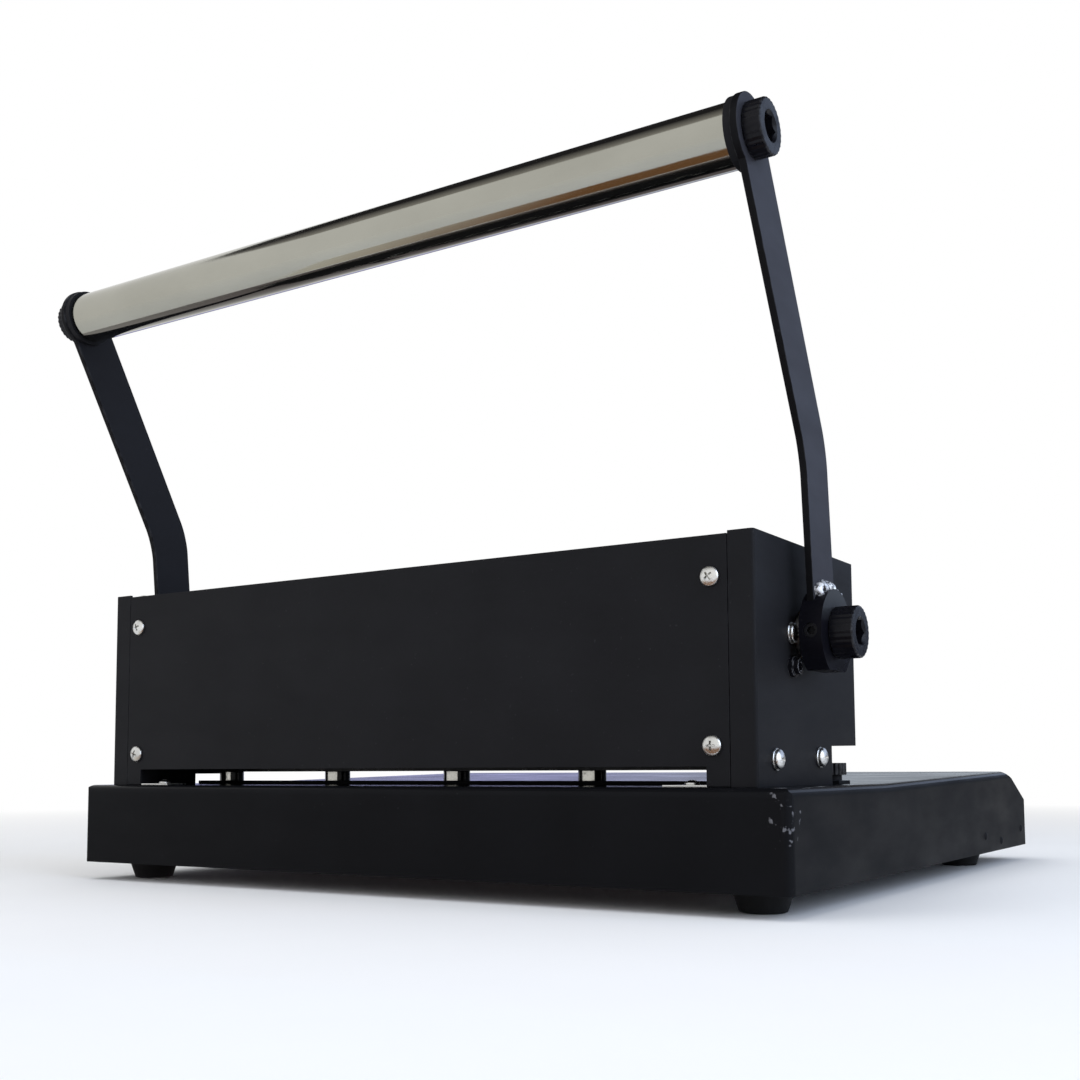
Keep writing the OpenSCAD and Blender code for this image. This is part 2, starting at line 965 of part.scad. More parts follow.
module rear_panel_screws() {
  color(zinc)
    in_head()
      at_panel_screws()
        pan_screw(cover_screw_d, sheet_t + cover_screw_reach);
}

// Folded cover on the +X side with flanges on its rear, front and lower edges
module side_cover() {
  r = sheet_t;
  flange_in = half_head - flange_w;
  difference() {
    union() {
      block([cover_in, r - head_d, overhang_z], [half_head, -r, head_h]);
      block([cover_in, -lower_d, 0], [half_head, -r, overhang_z + cut]);
      block([flange_in, -sheet_t, 0], [half_head - r, 0, head_h]);
      block([flange_in, -head_d, overhang_z], [half_head - r, frame_front, head_h]);
      block([flange_in, -head_d + r, overhang_z], [half_head, frame_low_front, frame_step]);
      block([flange_in, -lower_d, 0], [half_head, frame_low_front, frame_step]);
      intersection() {
        translate([half_head - r, -r, 0])
          cylinder(r = r, h = head_h);
        block([half_head - r, -r, 0], [half_head, 0, head_h]);
      }
      intersection() {
        translate([half_head - r, r - head_d, overhang_z])
          cylinder(r = r, h = head_h - overhang_z);
        block([half_head - r, -head_d, overhang_z], [half_head, r - head_d, head_h]);
      }
    }
    translate([cover_in - cut, shaft_y, shaft_z])
      to_right()
        cylinder(d = shaft_d + 2, h = sheet_t + 2 * cut);
    at_cover_screws()
      translate([0, 0, -sheet_t - cut])
        cylinder(d = cover_screw_d + loose, h = sheet_t + 2 * cut);
    at_bearing_screw()
      translate([0, 0, -sheet_t - cut])
        cylinder(d = bearing_d + loose, h = sheet_t + 2 * cut);
  }
}

module side_cover_left() {
  color(black_coat)
    in_head()
      difference() {
        side_cover();
        throat_mouth();
      }
}

module side_cover_right() {
  color(black_coat)
    in_head()
      mirror([1, 0, 0])
        side_cover();
}

// Screws of the side covers, each with a washer under its head
module side_cover_screws() {
  washer_t = 0.8;
  color(zinc)
    in_head()
      both_sides()
        at_cover_screws() {
          washer(cover_screw_d, 2.2 * cover_screw_d, washer_t);
          translate([0, 0, washer_t])
            pan_screw(cover_screw_d, washer_t + sheet_t + cover_screw_reach);
        }
}

// Black socket screws beside the drive shaft that hold the bushes
module bearing_screws() {
  color(black_oxide)
    in_head()
      both_sides()
        at_bearing_screw()
          socket_screw(bearing_head_d, bearing_head_l, bearing_d, sheet_t + bearing_reach, bearing_key, 20);
}

// Places of the tines and their hooks along the head
module at_tines() {
  for (x = pin_xs)
    translate([x, 0, 0])
      children();
}

module top_cover() {
  slot_w = max(tine_w, hook_w) + 1.5;
  color(black_coat)
    in_head()
      difference() {
        block(
          [loose - cover_in, frame_front + loose, frame_top],
          [cover_in - loose, frame_rear - loose, panel_top]
        );
        at_tines()
          block(
            [-slot_w / 2, hook_y - comb_travel - 1, frame_top - cut],
            [slot_w / 2, tine_y + tine_t + loose, panel_top + cut]
          );
        at_top_screws()
          translate([0, 0, -sheet_t - cut])
            cylinder(d = cover_screw_d + loose, h = sheet_t + 2 * cut);
        at_tine_screws()
          translate([0, 0, -sheet_t - cut])
            cylinder(d = tine_screw_d, h = sheet_t + 2 * cut);
      }
}

module top_cover_screws() {
  color(zinc)
    in_head()
      at_top_screws()
        pan_screw(cover_screw_d, sheet_t + cover_screw_reach);
}

// Front sheet with a return under the overhang and a slot for the opener lever
module front_cover() {
  reach = comb_y - frame_front;
  half_bar = lever_w / 2 + 1;
  slot_top = comb_z + (reach + sheet_t) * tan(lever_rise) + half_bar / cos(lever_rise);
  down = lever_swing - lever_rise;
  slot_low = comb_z - (reach + sheet_t) * tan(down) - half_bar / cos(down);
  color(black_coat)
    in_head()
      difference() {
        union() {
          block([-panel_half, -head_d, overhang_z], [panel_half, frame_front, panel_top]);
          block([-panel_half, -head_d, overhang_z], [panel_half, frame_low_front - loose, frame_step]);
        }
        block(
          [lever_x - lever_t / 2 - 1, -head_d - cut, slot_low],
          [lever_x + lever_t / 2 + 1, frame_front + cut, slot_top]
        );
        at_front_screws()
          translate([0, 0, -sheet_t - cut])
            cylinder(d = cover_screw_d + loose, h = sheet_t + 2 * cut);
      }
}

module front_cover_screws() {
  color(zinc)
    in_head()
      at_front_screws()
        pan_screw(cover_screw_d, sheet_t + cover_screw_reach);
}

// Row of rectangular holes or pins between two heights
module pin_row(grow, z0, z1) {
  for (x = pin_xs)
    block(
      [x - hole_w / 2 - grow, pin_y - hole_d / 2 - grow, z0],
      [x + hole_w / 2 + grow, pin_y + hole_d / 2 + grow, z1]
    );
}

// Places of the die bolts
module at_die_bolts() {
  for (x = spacer_xs)
    translate([x, spacer_y, 0])
      children();
}

// Hardened plate flush with the table, with one hole for each pin
module die_plate() {
  color(steel)
    in_head()
      difference() {
        block([loose - frame_in, frame_low_front, -die_t], [frame_in - loose, die_rear, 0]);
        pin_row(running, -die_t - cut, cut);
        at_die_bolts() {
          translate([0, 0, -die_t - cut])
            cylinder(d = die_bolt_d + loose, h = die_t + 2 * cut);
          translate([0, 0, -die_t - cut])
            cylinder(d = 1.8 * die_bolt_d, h = die_bolt_head + cut);
        }
      }
}

// Block above the throat that guides the pins
module guide_block() {
  color(black_oxide)
    in_head()
      difference() {
        block([-frame_in, frame_low_front, guide_z], [frame_in, die_rear, guide_top]);
        pin_row(running, guide_z - cut, guide_top + cut);
        at_die_bolts()
          translate([0, 0, guide_z - cut])
            cylinder(d = die_bolt_d, h = guide_h - 2 + cut);
        both_sides() {
          translate([rod_x, pin_y, guide_z + 1])
            cylinder(d = rod_d, h = guide_h);
          at_block_screws()
            translate([0, 0, -frame_t - block_screw_reach - cut])
              cylinder(d = block_screw_d, h = block_screw_reach + 2 * cut);
        }
      }
}

module guide_block_screws() {
  color(zinc)
    in_head()
      both_sides()
        at_block_screws()
          translate([0, 0, -block_screw_d])
            pan_screw(block_screw_d, frame_t + block_screw_reach - block_screw_d);
}

// Turned spacers that set the height of the throat and stop the paper
module throat_spacers() {
  color(steel)
    in_head()
      at_die_bolts()
        difference() {
          cylinder(d = spacer_d, h = throat_h);
          translate([0, 0, -cut])
            cylinder(d = die_bolt_d + loose, h = throat_h + 2 * cut);
        }
}

// Bolts that clamp the die, the spacers and the guide block together
module die_bolts() {
  reach = die_t - die_bolt_head + throat_h + guide_h - 3;
  color(zinc)
    in_head()
      at_die_bolts()
        translate([0, 0, -die_t + die_bolt_head])
          mirror([0, 0, 1])
            socket_screw(1.7 * die_bolt_d, die_bolt_head, die_bolt_d, reach, 4, 20);
}

// Rods that the beam slides on
module guide_rods() {
  color(zinc)
    in_head()
      both_sides()
        translate([rod_x, pin_y, guide_z + 1])
          cylinder(d = rod_d, h = beam_top + rod_past - guide_z - 1);
}

// Return springs round the rods, drawn as their outer sleeves
module return_springs() {
  color(steel)
    in_head()
      both_sides()
        translate([rod_x, pin_y, guide_top])
          difference() {
            cylinder(d = spring_d, h = beam_z + pocket_h - guide_top);
            translate([0, 0, -cut])
              cylinder(d = rod_d + 2 * spring_play, h = beam_top);
          }
}

// Beam that carries the pins
module punch_beam() {
  color(steel)
    in_head()
      difference() {
        block([-beam_half, pin_y - beam_d / 2, beam_z], [beam_half, pin_y + beam_d / 2, beam_top]);
        pin_row(0, beam_z - cut, beam_z + pin_hold);
        both_sides() {
          translate([rod_x, pin_y, beam_z - cut])
            cylinder(d = rod_d + 2 * running, h = beam_h + 2 * cut);
          translate([rod_x, pin_y, beam_z - cut])
            cylinder(d = pocket_d, h = pocket_h + cut);
          rack_tenon_block();
        }
      }
}

// Foot of a rack that is let into the beam, on the +X side
module rack_tenon_block() {
  rack_root = shaft_y - pinion_r - (pinion_addendum + tooth_floor) * pinion_module;
  block(
    [rack_x - pinion_w / 2, rack_root - rack_back + 2, beam_top - rack_tenon],
    [rack_x + pinion_w / 2, rack_root - 2, beam_top + cut]
  );
}

module punch_pins() {
  color(zinc)
    in_head()
      pin_row(0, guide_z + pin_lift, beam_z + pin_hold);
}

// Racks in front of the pinions that drive the beam down
module punch_racks() {
  root = (pinion_addendum + tooth_floor) * pinion_module;
  top = (rack_last + 0.5) * rack_pitch;
  color(steel)
    in_head()
      both_sides() {
        along_x(rack_x - pinion_w / 2, pinion_w)
          translate([shaft_y - pinion_r, shaft_z]) {
            rack_teeth(pinion_module, -1, rack_last);
            translate([-root - rack_back, beam_top - shaft_z])
              square([rack_back, top + shaft_z - beam_top]);
          }
        rack_tenon_block();
      }
}

// Shaft with its two pinions cut on it and a threaded hole in each end
module drive_shaft() {
  color(steel)
    in_head()
      difference() {
        union() {
          translate([-hub_out, shaft_y, shaft_z])
            to_right()
              cylinder(d = shaft_d, h = 2 * hub_out);
          for (s = [-1, 1])
            along_x(s * rack_x - pinion_w / 2, pinion_w)
              translate([shaft_y, shaft_z])
                gear_outline(pinion_teeth, pinion_module, 180);
        }
        both_sides()
          translate([hub_out - cap_reach - 2, shaft_y, shaft_z])
            to_right()
              cylinder(d = cap_thread_d, h = cap_reach + 2 + cut);
      }
}

// Flanged bushes in the end frames
module shaft_bushes() {
  outer = shaft_d + 2 * running + 2 * bush_wall;
  color(bronze)
    in_head()
      both_sides()
        translate([frame_in, shaft_y, shaft_z])
          to_right()
            difference() {
              union() {
                cylinder(d = outer, h = frame_t);
                translate([0, 0, -bush_flange])
                  cylinder(d = outer + bush_flange_rim, h = bush_flange);
              }
              translate([0, 0, -bush_flange - cut])
                cylinder(d = shaft_d + 2 * running, h = frame_t + bush_flange + 2 * cut);
            }
}

// Bar outline of width w from point a to point b, with a round far end
module bar_outline(a, b, w) {
  run = norm(b - a);
  translate(a)
    rotate(atan2(b[1] - a[1], b[0] - a[0])) {
      translate([0, -w / 2])
        square([run, w]);
      translate([run, 0])
        circle(d = w);
    }
}

// Bent flat bar on the +X side, from its hub to the eye at the handle bar
module handle_arm() {
  hub_at = [shaft_y, shaft_z];
  bend_at = [bend_y, bend_z];
  bar_at = [bar_y, bar_z];
  side_low = across(bend_at - hub_at) * arm_w / 2;
  side_high = across(bar_at - bend_at) * arm_w / 2;
  mitre = (side_low + side_high) * 2 / pow(norm(side_low + side_high) / (arm_w / 2), 2);
  difference() {
    union() {
      along_x(arm_in, arm_t)
        polygon([
          hub_at + side_low, bend_at + mitre, bar_at + side_high,
          bar_at - side_high, bend_at - mitre, hub_at - side_low
        ]);
      along_x(arm_in, arm_t)
        translate(bar_at)
          circle(d = eye_d);
    }
    along_x(arm_in - cut, arm_t + 2 * cut) {
      translate(hub_at)
        circle(d = hub_d);
      translate(bar_at)
        circle(d = cap_thread_d);
    }
  }
}

module handle_arm_left() {
  color(black_coat)
    in_head()
      handle_arm();
}

module handle_arm_right() {
  color(black_coat)
    in_head()
      mirror([1, 0, 0])
        handle_arm();
}

// Set screw on the rear of a hub, on the +X side, pointing to the rear
module at_set_screw() {
  translate([hub_in + hub_t / 2, shaft_y, shaft_z])
    to_rear()
      children();
}

// Round hub with a flat underneath, on the +X side
module arm_hub() {
  difference() {
    along_x(hub_in, hub_t)
      translate([shaft_y, shaft_z])
        difference() {
          circle(d = hub_d);
          circle(d = shaft_d);
          translate([-hub_d, -hub_d - hub_flat])
            square([2 * hub_d, hub_d]);
        }
    at_set_screw()
      cylinder(d = set_screw_d, h = hub_d);
  }
}

module arm_hub_left() {
  color(black_coat)
    in_head()
      arm_hub();
}

module arm_hub_right() {
  color(black_coat)
    in_head()
      mirror([1, 0, 0])
        arm_hub();
}

// Weld beads between the outer face of each arm and its hub
module hub_welds() {
  bead = min(3.5, hub_out - arm_out - 0.5);
  lean = atan2(bend_back, bend_rise);
  spread = weld_spread;
  color(black_coat)
    in_head()
      both_sides()
        translate([arm_out, shaft_y, shaft_z])
          rotate([90, 0, 90])
            rotate(90 - lean - spread / 2)
              rotate_extrude(angle = spread)
                translate([hub_d / 2, 0])
                  polygon([[0, 0], [bead, 0], [0.6 * bead, 0.7 * bead], [0, bead]]);
}

module hub_set_screws() {
  reach = hub_d / 2 - 1;
  color(black_oxide)
    in_head()
      both_sides()
        at_set_screw()
          translate([0, 0, shaft_d / 2])
            difference() {
              cylinder(d = set_screw_d, h = reach - shaft_d / 2);
              translate([0, 0, reach - shaft_d / 2 - set_screw_key])
                cylinder(d = set_screw_key / cos(30), h = set_screw_key + cut, $fn = 6);
            }
}

module hub_cap_screws() {
  color(black_oxide)
    in_head()
      both_sides()
        translate([hub_out, shaft_y, shaft_z])
          to_right()
            socket_screw(cap_d, hub_cap_l, cap_thread_d, cap_reach, cap_key, 32);
}

module bar_cap_screws() {
  color(black_oxide)
    in_head()
      both_sides()
        translate([arm_out, bar_y, bar_z])
          to_right()
            socket_screw(cap_d, bar_cap_l, cap_thread_d, arm_t + cap_reach, cap_key, 32);
}

// Chromed tube between the rims of its end plugs
module handle_bar() {
  color(chrome)
    in_head()
      translate([-bar_half, bar_y, bar_z])
        to_right()
          difference() {
            cylinder(d = bar_d, h = 2 * bar_half);
            translate([0, 0, -cut])
              cylinder(d = bar_d - 2 * bar_wall, h = 2 * bar_half + 2 * cut);
          }
}

// Threaded plugs in the ends of the handle bar, each with a rim against its arm
module bar_end_plugs() {
  color(black_coat)
    in_head()
      both_sides()
        translate([arm_in - plug_l, bar_y, bar_z])
          to_right()
            difference() {
              union() {
                cylinder(d = bar_d - 2 * bar_wall, h = plug_l);
                translate([0, 0, plug_l - plug_rim_t])
                  cylinder(d = plug_rim_d, h = plug_rim_t);
              }
              translate([0, 0, -cut])
                cylinder(d = cap_thread_d, h = plug_l + 2 * cut);
            }
}

// Fixed row of upright tines on a flange under the top cover
module comb_tines() {
  tip = tine_w / 2;
  end = pin_side * hole_pitch + tine_w;
  color(zinc)
    in_head()
      difference() {
        union() {
          block([-end, tine_y, frame_top - tine_t], [end, tine_y + tine_foot, frame_top]);
          at_tines()
            along_y(tine_y + tine_t, tine_t) {
              translate([-tip, frame_top - tine_t])
                square([tine_w, tine_top - tip - frame_top + tine_t]);
              translate([0, tine_top - tip])
                circle(tip);
            }
        }
        at_tine_screws()
          translate([0, 0, -sheet_t - tine_t - cut])
            cylinder(d = tine_screw_d, h = sheet_t + tine_t + 2 * cut);
      }
}

module tine_screws() {
  color(zinc)
    in_head()
      at_tine_screws()
        pan_screw(tine_screw_d, sheet_t + tine_t);
}

// Sliding plate whose hooks pull the comb open
module hook_plate() {
  side = frame_in + groove_h;
  color(zinc)
    in_head() {
      block([-side, hook_y, hook_z], [side, tine_y + tine_foot + 4, hook_z + hook_t]);
      at_tines()
        along_x(-hook_w / 2, hook_w)
          polygon([
            [hook_y, hook_z], [hook_y, tine_top - 2.5], [hook_y - hook_lip, tine_top - 2],
            [hook_y - hook_lip, tine_top], [hook_y + hook_t, tine_top], [hook_y + hook_t, hook_z]
          ]);
    }
}

// Racks under the hook plate, above the sector gears
module hook_racks() {
  pitch_z = comb_z + sector_r;
  root = (pinion_addendum + tooth_floor) * sector_module;
  last = floor(comb_travel / sector_pitch + 1);
  color(steel)
    in_head()
      for (s = [-1, 1])
        along_x(s * sector_x - sector_w / 2, sector_w)
          translate([comb_y, pitch_z]) {
            rotate(-90)
              rack_teeth(sector_module, 0, last);
            translate([-sector_pitch / 2, root])
              square([(last + 1) * sector_pitch, hook_z - pitch_z - root]);
          }
}

// Shaft that links the two sector gears and the lever
module comb_shaft() {
  end = cover_in - 1.5;
  color(steel)
    in_head()
      translate([-end, comb_y, comb_z])
        to_right()
          cylinder(d = comb_shaft_d, h = 2 * end);
}

// Sector gears that push the hook plate
module comb_sectors() {
  margin = 13;
  from = 90 - lever_swing - margin;
  span = lever_swing + 2 * margin;
  reach = 2 * sector_r;
  color(steel)
    in_head()
      for (s = [-1, 1])
        along_x(s * sector_x - sector_w / 2, sector_w)
          translate([comb_y, comb_z])
            difference() {
              union() {
                circle(d = sector_hub_d);
                intersection() {
                  gear_outline(sector_teeth, sector_module, 90);
                  polygon([
                    [0, 0], polar(reach, from), polar(reach, from + span / 2), polar(reach, from + span)
                  ]);
                }
              }
              circle(d = comb_shaft_d);
            }
}

module comb_bushes() {
  color("#dcd8cc")
    in_head()
      both_sides()
        translate([frame_in, comb_y, comb_z])
          to_right()
            difference() {
              cylinder(d = comb_bush_d, h = frame_t);
              translate([0, 0, -cut])
                cylinder(d = comb_shaft_d + 2 * running, h = frame_t + 2 * cut);
            }
}

// Lever that reaches out through the front cover
module comb_lever() {
  away = 180 - lever_rise;
  color(black_coat)
    in_head()
      along_x(lever_x - lever_t / 2, lever_t)
        translate([comb_y, comb_z])
          difference() {
            union() {
              circle(d = lever_hub_d);
              bar_outline([0, 0], polar(lever_l - lever_w / 2, away), lever_w);
            }
            circle(d = comb_shaft_d);
          }
}

// Round grip on the end of the lever
module lever_grip() {
  tip = lever_l + grip_past;
  r = grip_d / 2;
  color(rubber)
    in_head()
      translate([lever_x, comb_y, comb_z])
        difference() {
          rotate([90 - lever_rise, 0, 0])
            translate([0, 0, tip - grip_l])
              rotate_extrude()
                polygon([
                  [0, 0], [0.7 * r, 0], [0.8 * r, grip_neck / 4], [0.8 * r, grip_neck],
                  [r, grip_l - grip_swell], [r, grip_l - grip_round],
                  [0.75 * r, grip_l - grip_round / 4], [0.5 * r, grip_l], [0, grip_l]
                ]);
          along_x(-lever_t / 2, lever_t)
            bar_outline([0, 0], polar(lever_l - lever_w / 2, 180 - lever_rise), lever_w);
        }
}

// Open tray that catches the chips and slides out towards +X
module chip_drawer() {
  y0 = drawer_y - drawer_w / 2;
  y1 = drawer_y + drawer_w / 2;
  z1 = drawer_z + drawer_h;
  color(black_coat)
    in_head() {
      difference() {
        block([drawer_back, y0, drawer_z], [half_base + loose, y1, z1]);
        block(
          [drawer_back + drawer_wall, y0 + drawer_wall, drawer_z + drawer_wall],
          [half_base - drawer_wall, y1 - drawer_wall, z1 + cut]
        );
      }
      block(
        [half_base + loose, y0 - drawer_rim, drawer_z],
        [half_base + loose + drawer_face_t, y1 + drawer_rim, z1 + drawer_rim / 2]
      );
    }
}

// Finger lip on the face of the drawer
module drawer_pull() {
  face = half_base + loose + drawer_face_t;
  top = drawer_z + drawer_h - 3;
  lip_x = pull_d - 2;
  color(rubber)
    in_head()
      along_y(drawer_y + pull_w / 2, pull_w)
        translate([face, top])
          polygon([
            [0, -pull_h], [0, 0], [lip_x, 0], [pull_d, -2], [pull_d, 3 - pull_h], [lip_x, 3 - pull_h],
            [lip_x, -3], [2, -3], [2, -pull_h]
          ]);
}

// Rails on the bottom plate that keep the drawer straight
module drawer_rails() {
  half = drawer_w / 2 + loose;
  end = foot_x - tab_w / 2 - rail_t;
  color(steel)
    in_head()
      for (y = [drawer_y - half - rail_t, drawer_y + half])
        block([-end, y, plate_top], [end, y + rail_t, plate_top + rail_h]);
}

// Adjustable stop for the edge of the sheets
module edge_guide() {
  half_d = edge_guide_d / 2;
  half_w = guide_block_w / 2;
  color(black_coat)
    in_head()
      difference() {
        union() {
          block([edge_x - half_w, edge_y - half_d, 0], [edge_fence, edge_y + half_d, edge_foot_t]);
          translate([edge_x, edge_y, 0])
            cylinder(d = edge_collar_d, h = edge_collar_h);
          block([edge_fence - edge_fence_t, edge_y - half_d, 0], [edge_fence, edge_y + half_d, throat_h]);
        }
        translate([edge_x, edge_y, -cut])
          cylinder(d = edge_screw_d, h = edge_collar_h + 2 * cut);
      }
}

// Knurled clamp knob of the edge guide with its nut under the table
module edge_guide_clamp() {
  nut_z = -sheet_t - edge_nut_t - loose;
  color(black_oxide)
    in_head()
      translate([edge_x, edge_y, 0]) {
        translate([0, 0, edge_collar_h])
          linear_extrude(edge_knob_h)
            ribbed_disc(edge_knob_d, 18, 0.4);
        translate([0, 0, nut_z])
          cylinder(d = edge_screw_d, h = edge_collar_h + edge_knob_h / 2 - nut_z);
        translate([0, 0, nut_z])
          cylinder(d = edge_nut_d, h = edge_nut_t, $fn = 6);
      }
}

base_pan();
bottom_plate();
feet();
foot_screws();
wall_braces();
brace_rivets();
frame_left();
frame_right();
frame_bolts();
rear_posts();
front_posts();
post_shims();
shim_screws();
rear_panel();
rear_panel_screws();
side_cover_left();
side_cover_right();
side_cover_screws();
bearing_screws();
top_cover();
top_cover_screws();
front_cover();
front_cover_screws();
die_plate();
guide_block();
guide_block_screws();
throat_spacers();
die_bolts();
guide_rods();
return_springs();
punch_beam();
punch_pins();
punch_racks();
drive_shaft();
shaft_bushes();
handle_arm_left();
handle_arm_right();
arm_hub_left();
arm_hub_right();
hub_welds();
hub_set_screws();
hub_cap_screws();
bar_cap_screws();
handle_bar();
bar_end_plugs();
comb_tines();
tine_screws();
hook_plate();
hook_racks();
comb_shaft();
comb_sectors();
comb_bushes();
comb_lever();
lever_grip();
chip_drawer();
drawer_pull();
drawer_rails();
edge_guide();
edge_guide_clamp();
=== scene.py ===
import json
from math import atan2, cos, degrees, pi, radians, sin

import bmesh
import bpy
from mathutils import Matrix, Vector, noise


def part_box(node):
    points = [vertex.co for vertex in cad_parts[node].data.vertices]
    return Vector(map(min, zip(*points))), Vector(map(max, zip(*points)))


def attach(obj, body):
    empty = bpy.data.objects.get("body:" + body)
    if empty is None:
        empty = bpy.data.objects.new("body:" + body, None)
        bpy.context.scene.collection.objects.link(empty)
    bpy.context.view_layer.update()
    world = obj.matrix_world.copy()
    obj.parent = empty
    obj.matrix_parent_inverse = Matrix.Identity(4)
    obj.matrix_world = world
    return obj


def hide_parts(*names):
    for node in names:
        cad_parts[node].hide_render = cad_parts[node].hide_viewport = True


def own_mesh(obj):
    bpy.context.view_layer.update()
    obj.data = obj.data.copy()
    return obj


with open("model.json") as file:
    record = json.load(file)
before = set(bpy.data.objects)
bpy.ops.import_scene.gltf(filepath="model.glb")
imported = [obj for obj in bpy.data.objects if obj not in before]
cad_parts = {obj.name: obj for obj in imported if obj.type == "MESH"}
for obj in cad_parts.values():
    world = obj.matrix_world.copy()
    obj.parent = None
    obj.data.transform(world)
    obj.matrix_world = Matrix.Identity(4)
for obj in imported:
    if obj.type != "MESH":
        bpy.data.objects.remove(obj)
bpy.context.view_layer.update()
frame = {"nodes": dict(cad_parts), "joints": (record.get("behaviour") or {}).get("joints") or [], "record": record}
record = frame["record"]

MM = 0.001
UP = Vector((0, 0, 1))
REARWARD = Vector((0, 1, 0))
FORWARD = -REARWARD
LEFTWARD = Vector((1, 0, 0))
RIGHTWARD = -LEFTWARD

BODY_OF = {node: body for body, nodes in record["behaviour"]["bodies"].items() for node in nodes}
SLOT_OF = {row["node"]: row["material_slot"] for row in record["subparts"]}
HINGE = {joint["name"]: Vector(joint["pos_m"]) for joint in frame["joints"] if joint["type"] == "hinge"}
REAR_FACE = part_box("rear_panel")[1].y
TABLE_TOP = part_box("base_pan")[1].z

# Camera, measured from the middle of the rear panel's outer face at the height of the table
CAMERA_AT = Vector((-379.9, 464.8, 8.0)) * MM
CAMERA_YAW = radians(32.42)
CAMERA_PITCH = radians(4.68)
CAMERA_ROLL = radians(-0.30)
CAMERA_LENS = 43.76
CAMERA_SENSOR = 36.0
CAMERA_SHIFT = 0.111
CAMERA_CLIP = 10 * MM

# Edges of the pieces
SHEET_EASE = 0.35 * MM
BAR_EASE = 0.7 * MM
HUB_EASE = 1.2 * MM
SMALL_EASE = 0.2 * MM
SHARP_ANGLE = radians(30)
FLAT_ANGLE = radians(1)
WELD_DISTANCE = 2e-6

# Widest angle between faces that are still shaded as one smooth surface
PLAIN_SMOOTH = radians(50)
SCREW_SMOOTH = radians(28)
CAP_SMOOTH = radians(40)
TUBE_SMOOTH = radians(30)
BEAD_SMOOTH = radians(80)

# How squarely a face looks along a direction to be marked as a flat, and the mark of the faces opposite; these
# marks carry the painted sheen of the arms, the painted light of the hubs and the painted highlight strip of the
# spacers
TABLE_FACE = 0.55
OUTER_FACE = 0.95
# The next two set which spacer faces get the painted highlight strip
PAINTED_HIGHLIGHT_FACE = 0.92
PAINTED_HIGHLIGHT_SIDE = Vector((-0.23, 0.97, 0))
# Share of the painted sheen and painted light that the inner faces of the arms and hubs get
INNER_PAINTED_LIGHT_SHARE = 0.3

# Bend of the handle arms
BEND_LEAST = radians(20)
BEND_REACH = 9 * MM
BEND_STEPS = 8

# Rise of the table ahead of the edge stop
TABLE_RISE = 4.2 * MM
TABLE_CLEAR = 2 * MM
TABLE_DEPTH = 8 * MM

# Strip on the die behind the throat spacers
SILL_HEIGHT = 1.8 * MM
SILL_DEPTH = 4.0 * MM
SILL_GAP = 0.3 * MM
SILL_PAST = 8.0 * MM

# Screws; a pan head's height is a share of its thread
COVER_SCREW = 4 * MM
SMALL_SCREW = 3 * MM
PAN_HEIGHT = 0.66
WASHER_RIM = 8.8 * MM
WASHER_THICK = 0.8 * MM
WASHER_EASE = 0.15 * MM
TURN_STEP = radians(37)
CAP_THREAD = 10 * MM
CAP_KEY = 10 * MM
CAP_RIBS = 28
CAP_RIB_DEPTH = 0.25 * MM

# Paint tones and roughness
SHEET_TONE = (0.0086, 0.0087, 0.0101)
SHEET_ROUGH = (0.44, 0.58)
RUBBED_TONE = (0.028, 0.029, 0.033)
DUST_TONE = (0.035, 0.035, 0.037)
CHIP_TONE = (0.12, 0.12, 0.13)
CHIP_REACH = 16 * MM
BASE_TONE = (0.0048, 0.0050, 0.0060)
# Arm paint, far darker than the sheet paint: painted shade on the arms' edges, beside the much lighter painted
# sheen of their outer faces
ARM_TONE = (0.0020, 0.0021, 0.0030)
# Hub paint, under the much lighter painted light of the hubs' upper outer faces
HUB_TONE = (0.0042, 0.0041, 0.0062)
HUB_ROUGH = (0.20, 0.34)
OXIDE_TONE = (0.0045, 0.0045, 0.0066)
SPACER_TONE = (0.012, 0.012, 0.012)
WELD_TONE = (0.014, 0.014, 0.016)

# Floor and light
AMBIENT = 0.5
FLOOR_HALF = 8.0
FLOOR_DROP = 0.2 * MM
FLOOR_CLEAR = 0.45
FLOOR_FADE = 0.9
LIT_SPOT = Vector((0, 0.1, 0.12))
COOL_WHITE = (0.66, 0.78, 1.0)
WHITE = (1.0, 1.0, 1.0)

# Room that the bright metal mirrors
ROOM_FRONT = -2.5
ROOM_TOP = 2.5
ROOM_FLOOR = 0.0
ROOM_RIGHT = -5.0
ROOM_LEFT = 5.0
ROOM_SPLIT = -0.15
DARK = (0.025, 0.024, 0.026)
WINDOW = (0.62, 0.74, 1.0)
GREY = (0.10, 0.095, 0.10)
PALE_BLUE = (0.66, 0.73, 0.82)
VIOLET = (0.58, 0.60, 1.0)
FLOOR_GREY = (0.16, 0.14, 0.15)
FLOOR_PALE = (0.8, 0.8, 0.82)
CEILING_GREY = (0.45, 0.43, 0.41)
BROWN = (0.27, 0.135, 0.062)
CREAM = (0.8, 0.78, 0.72)


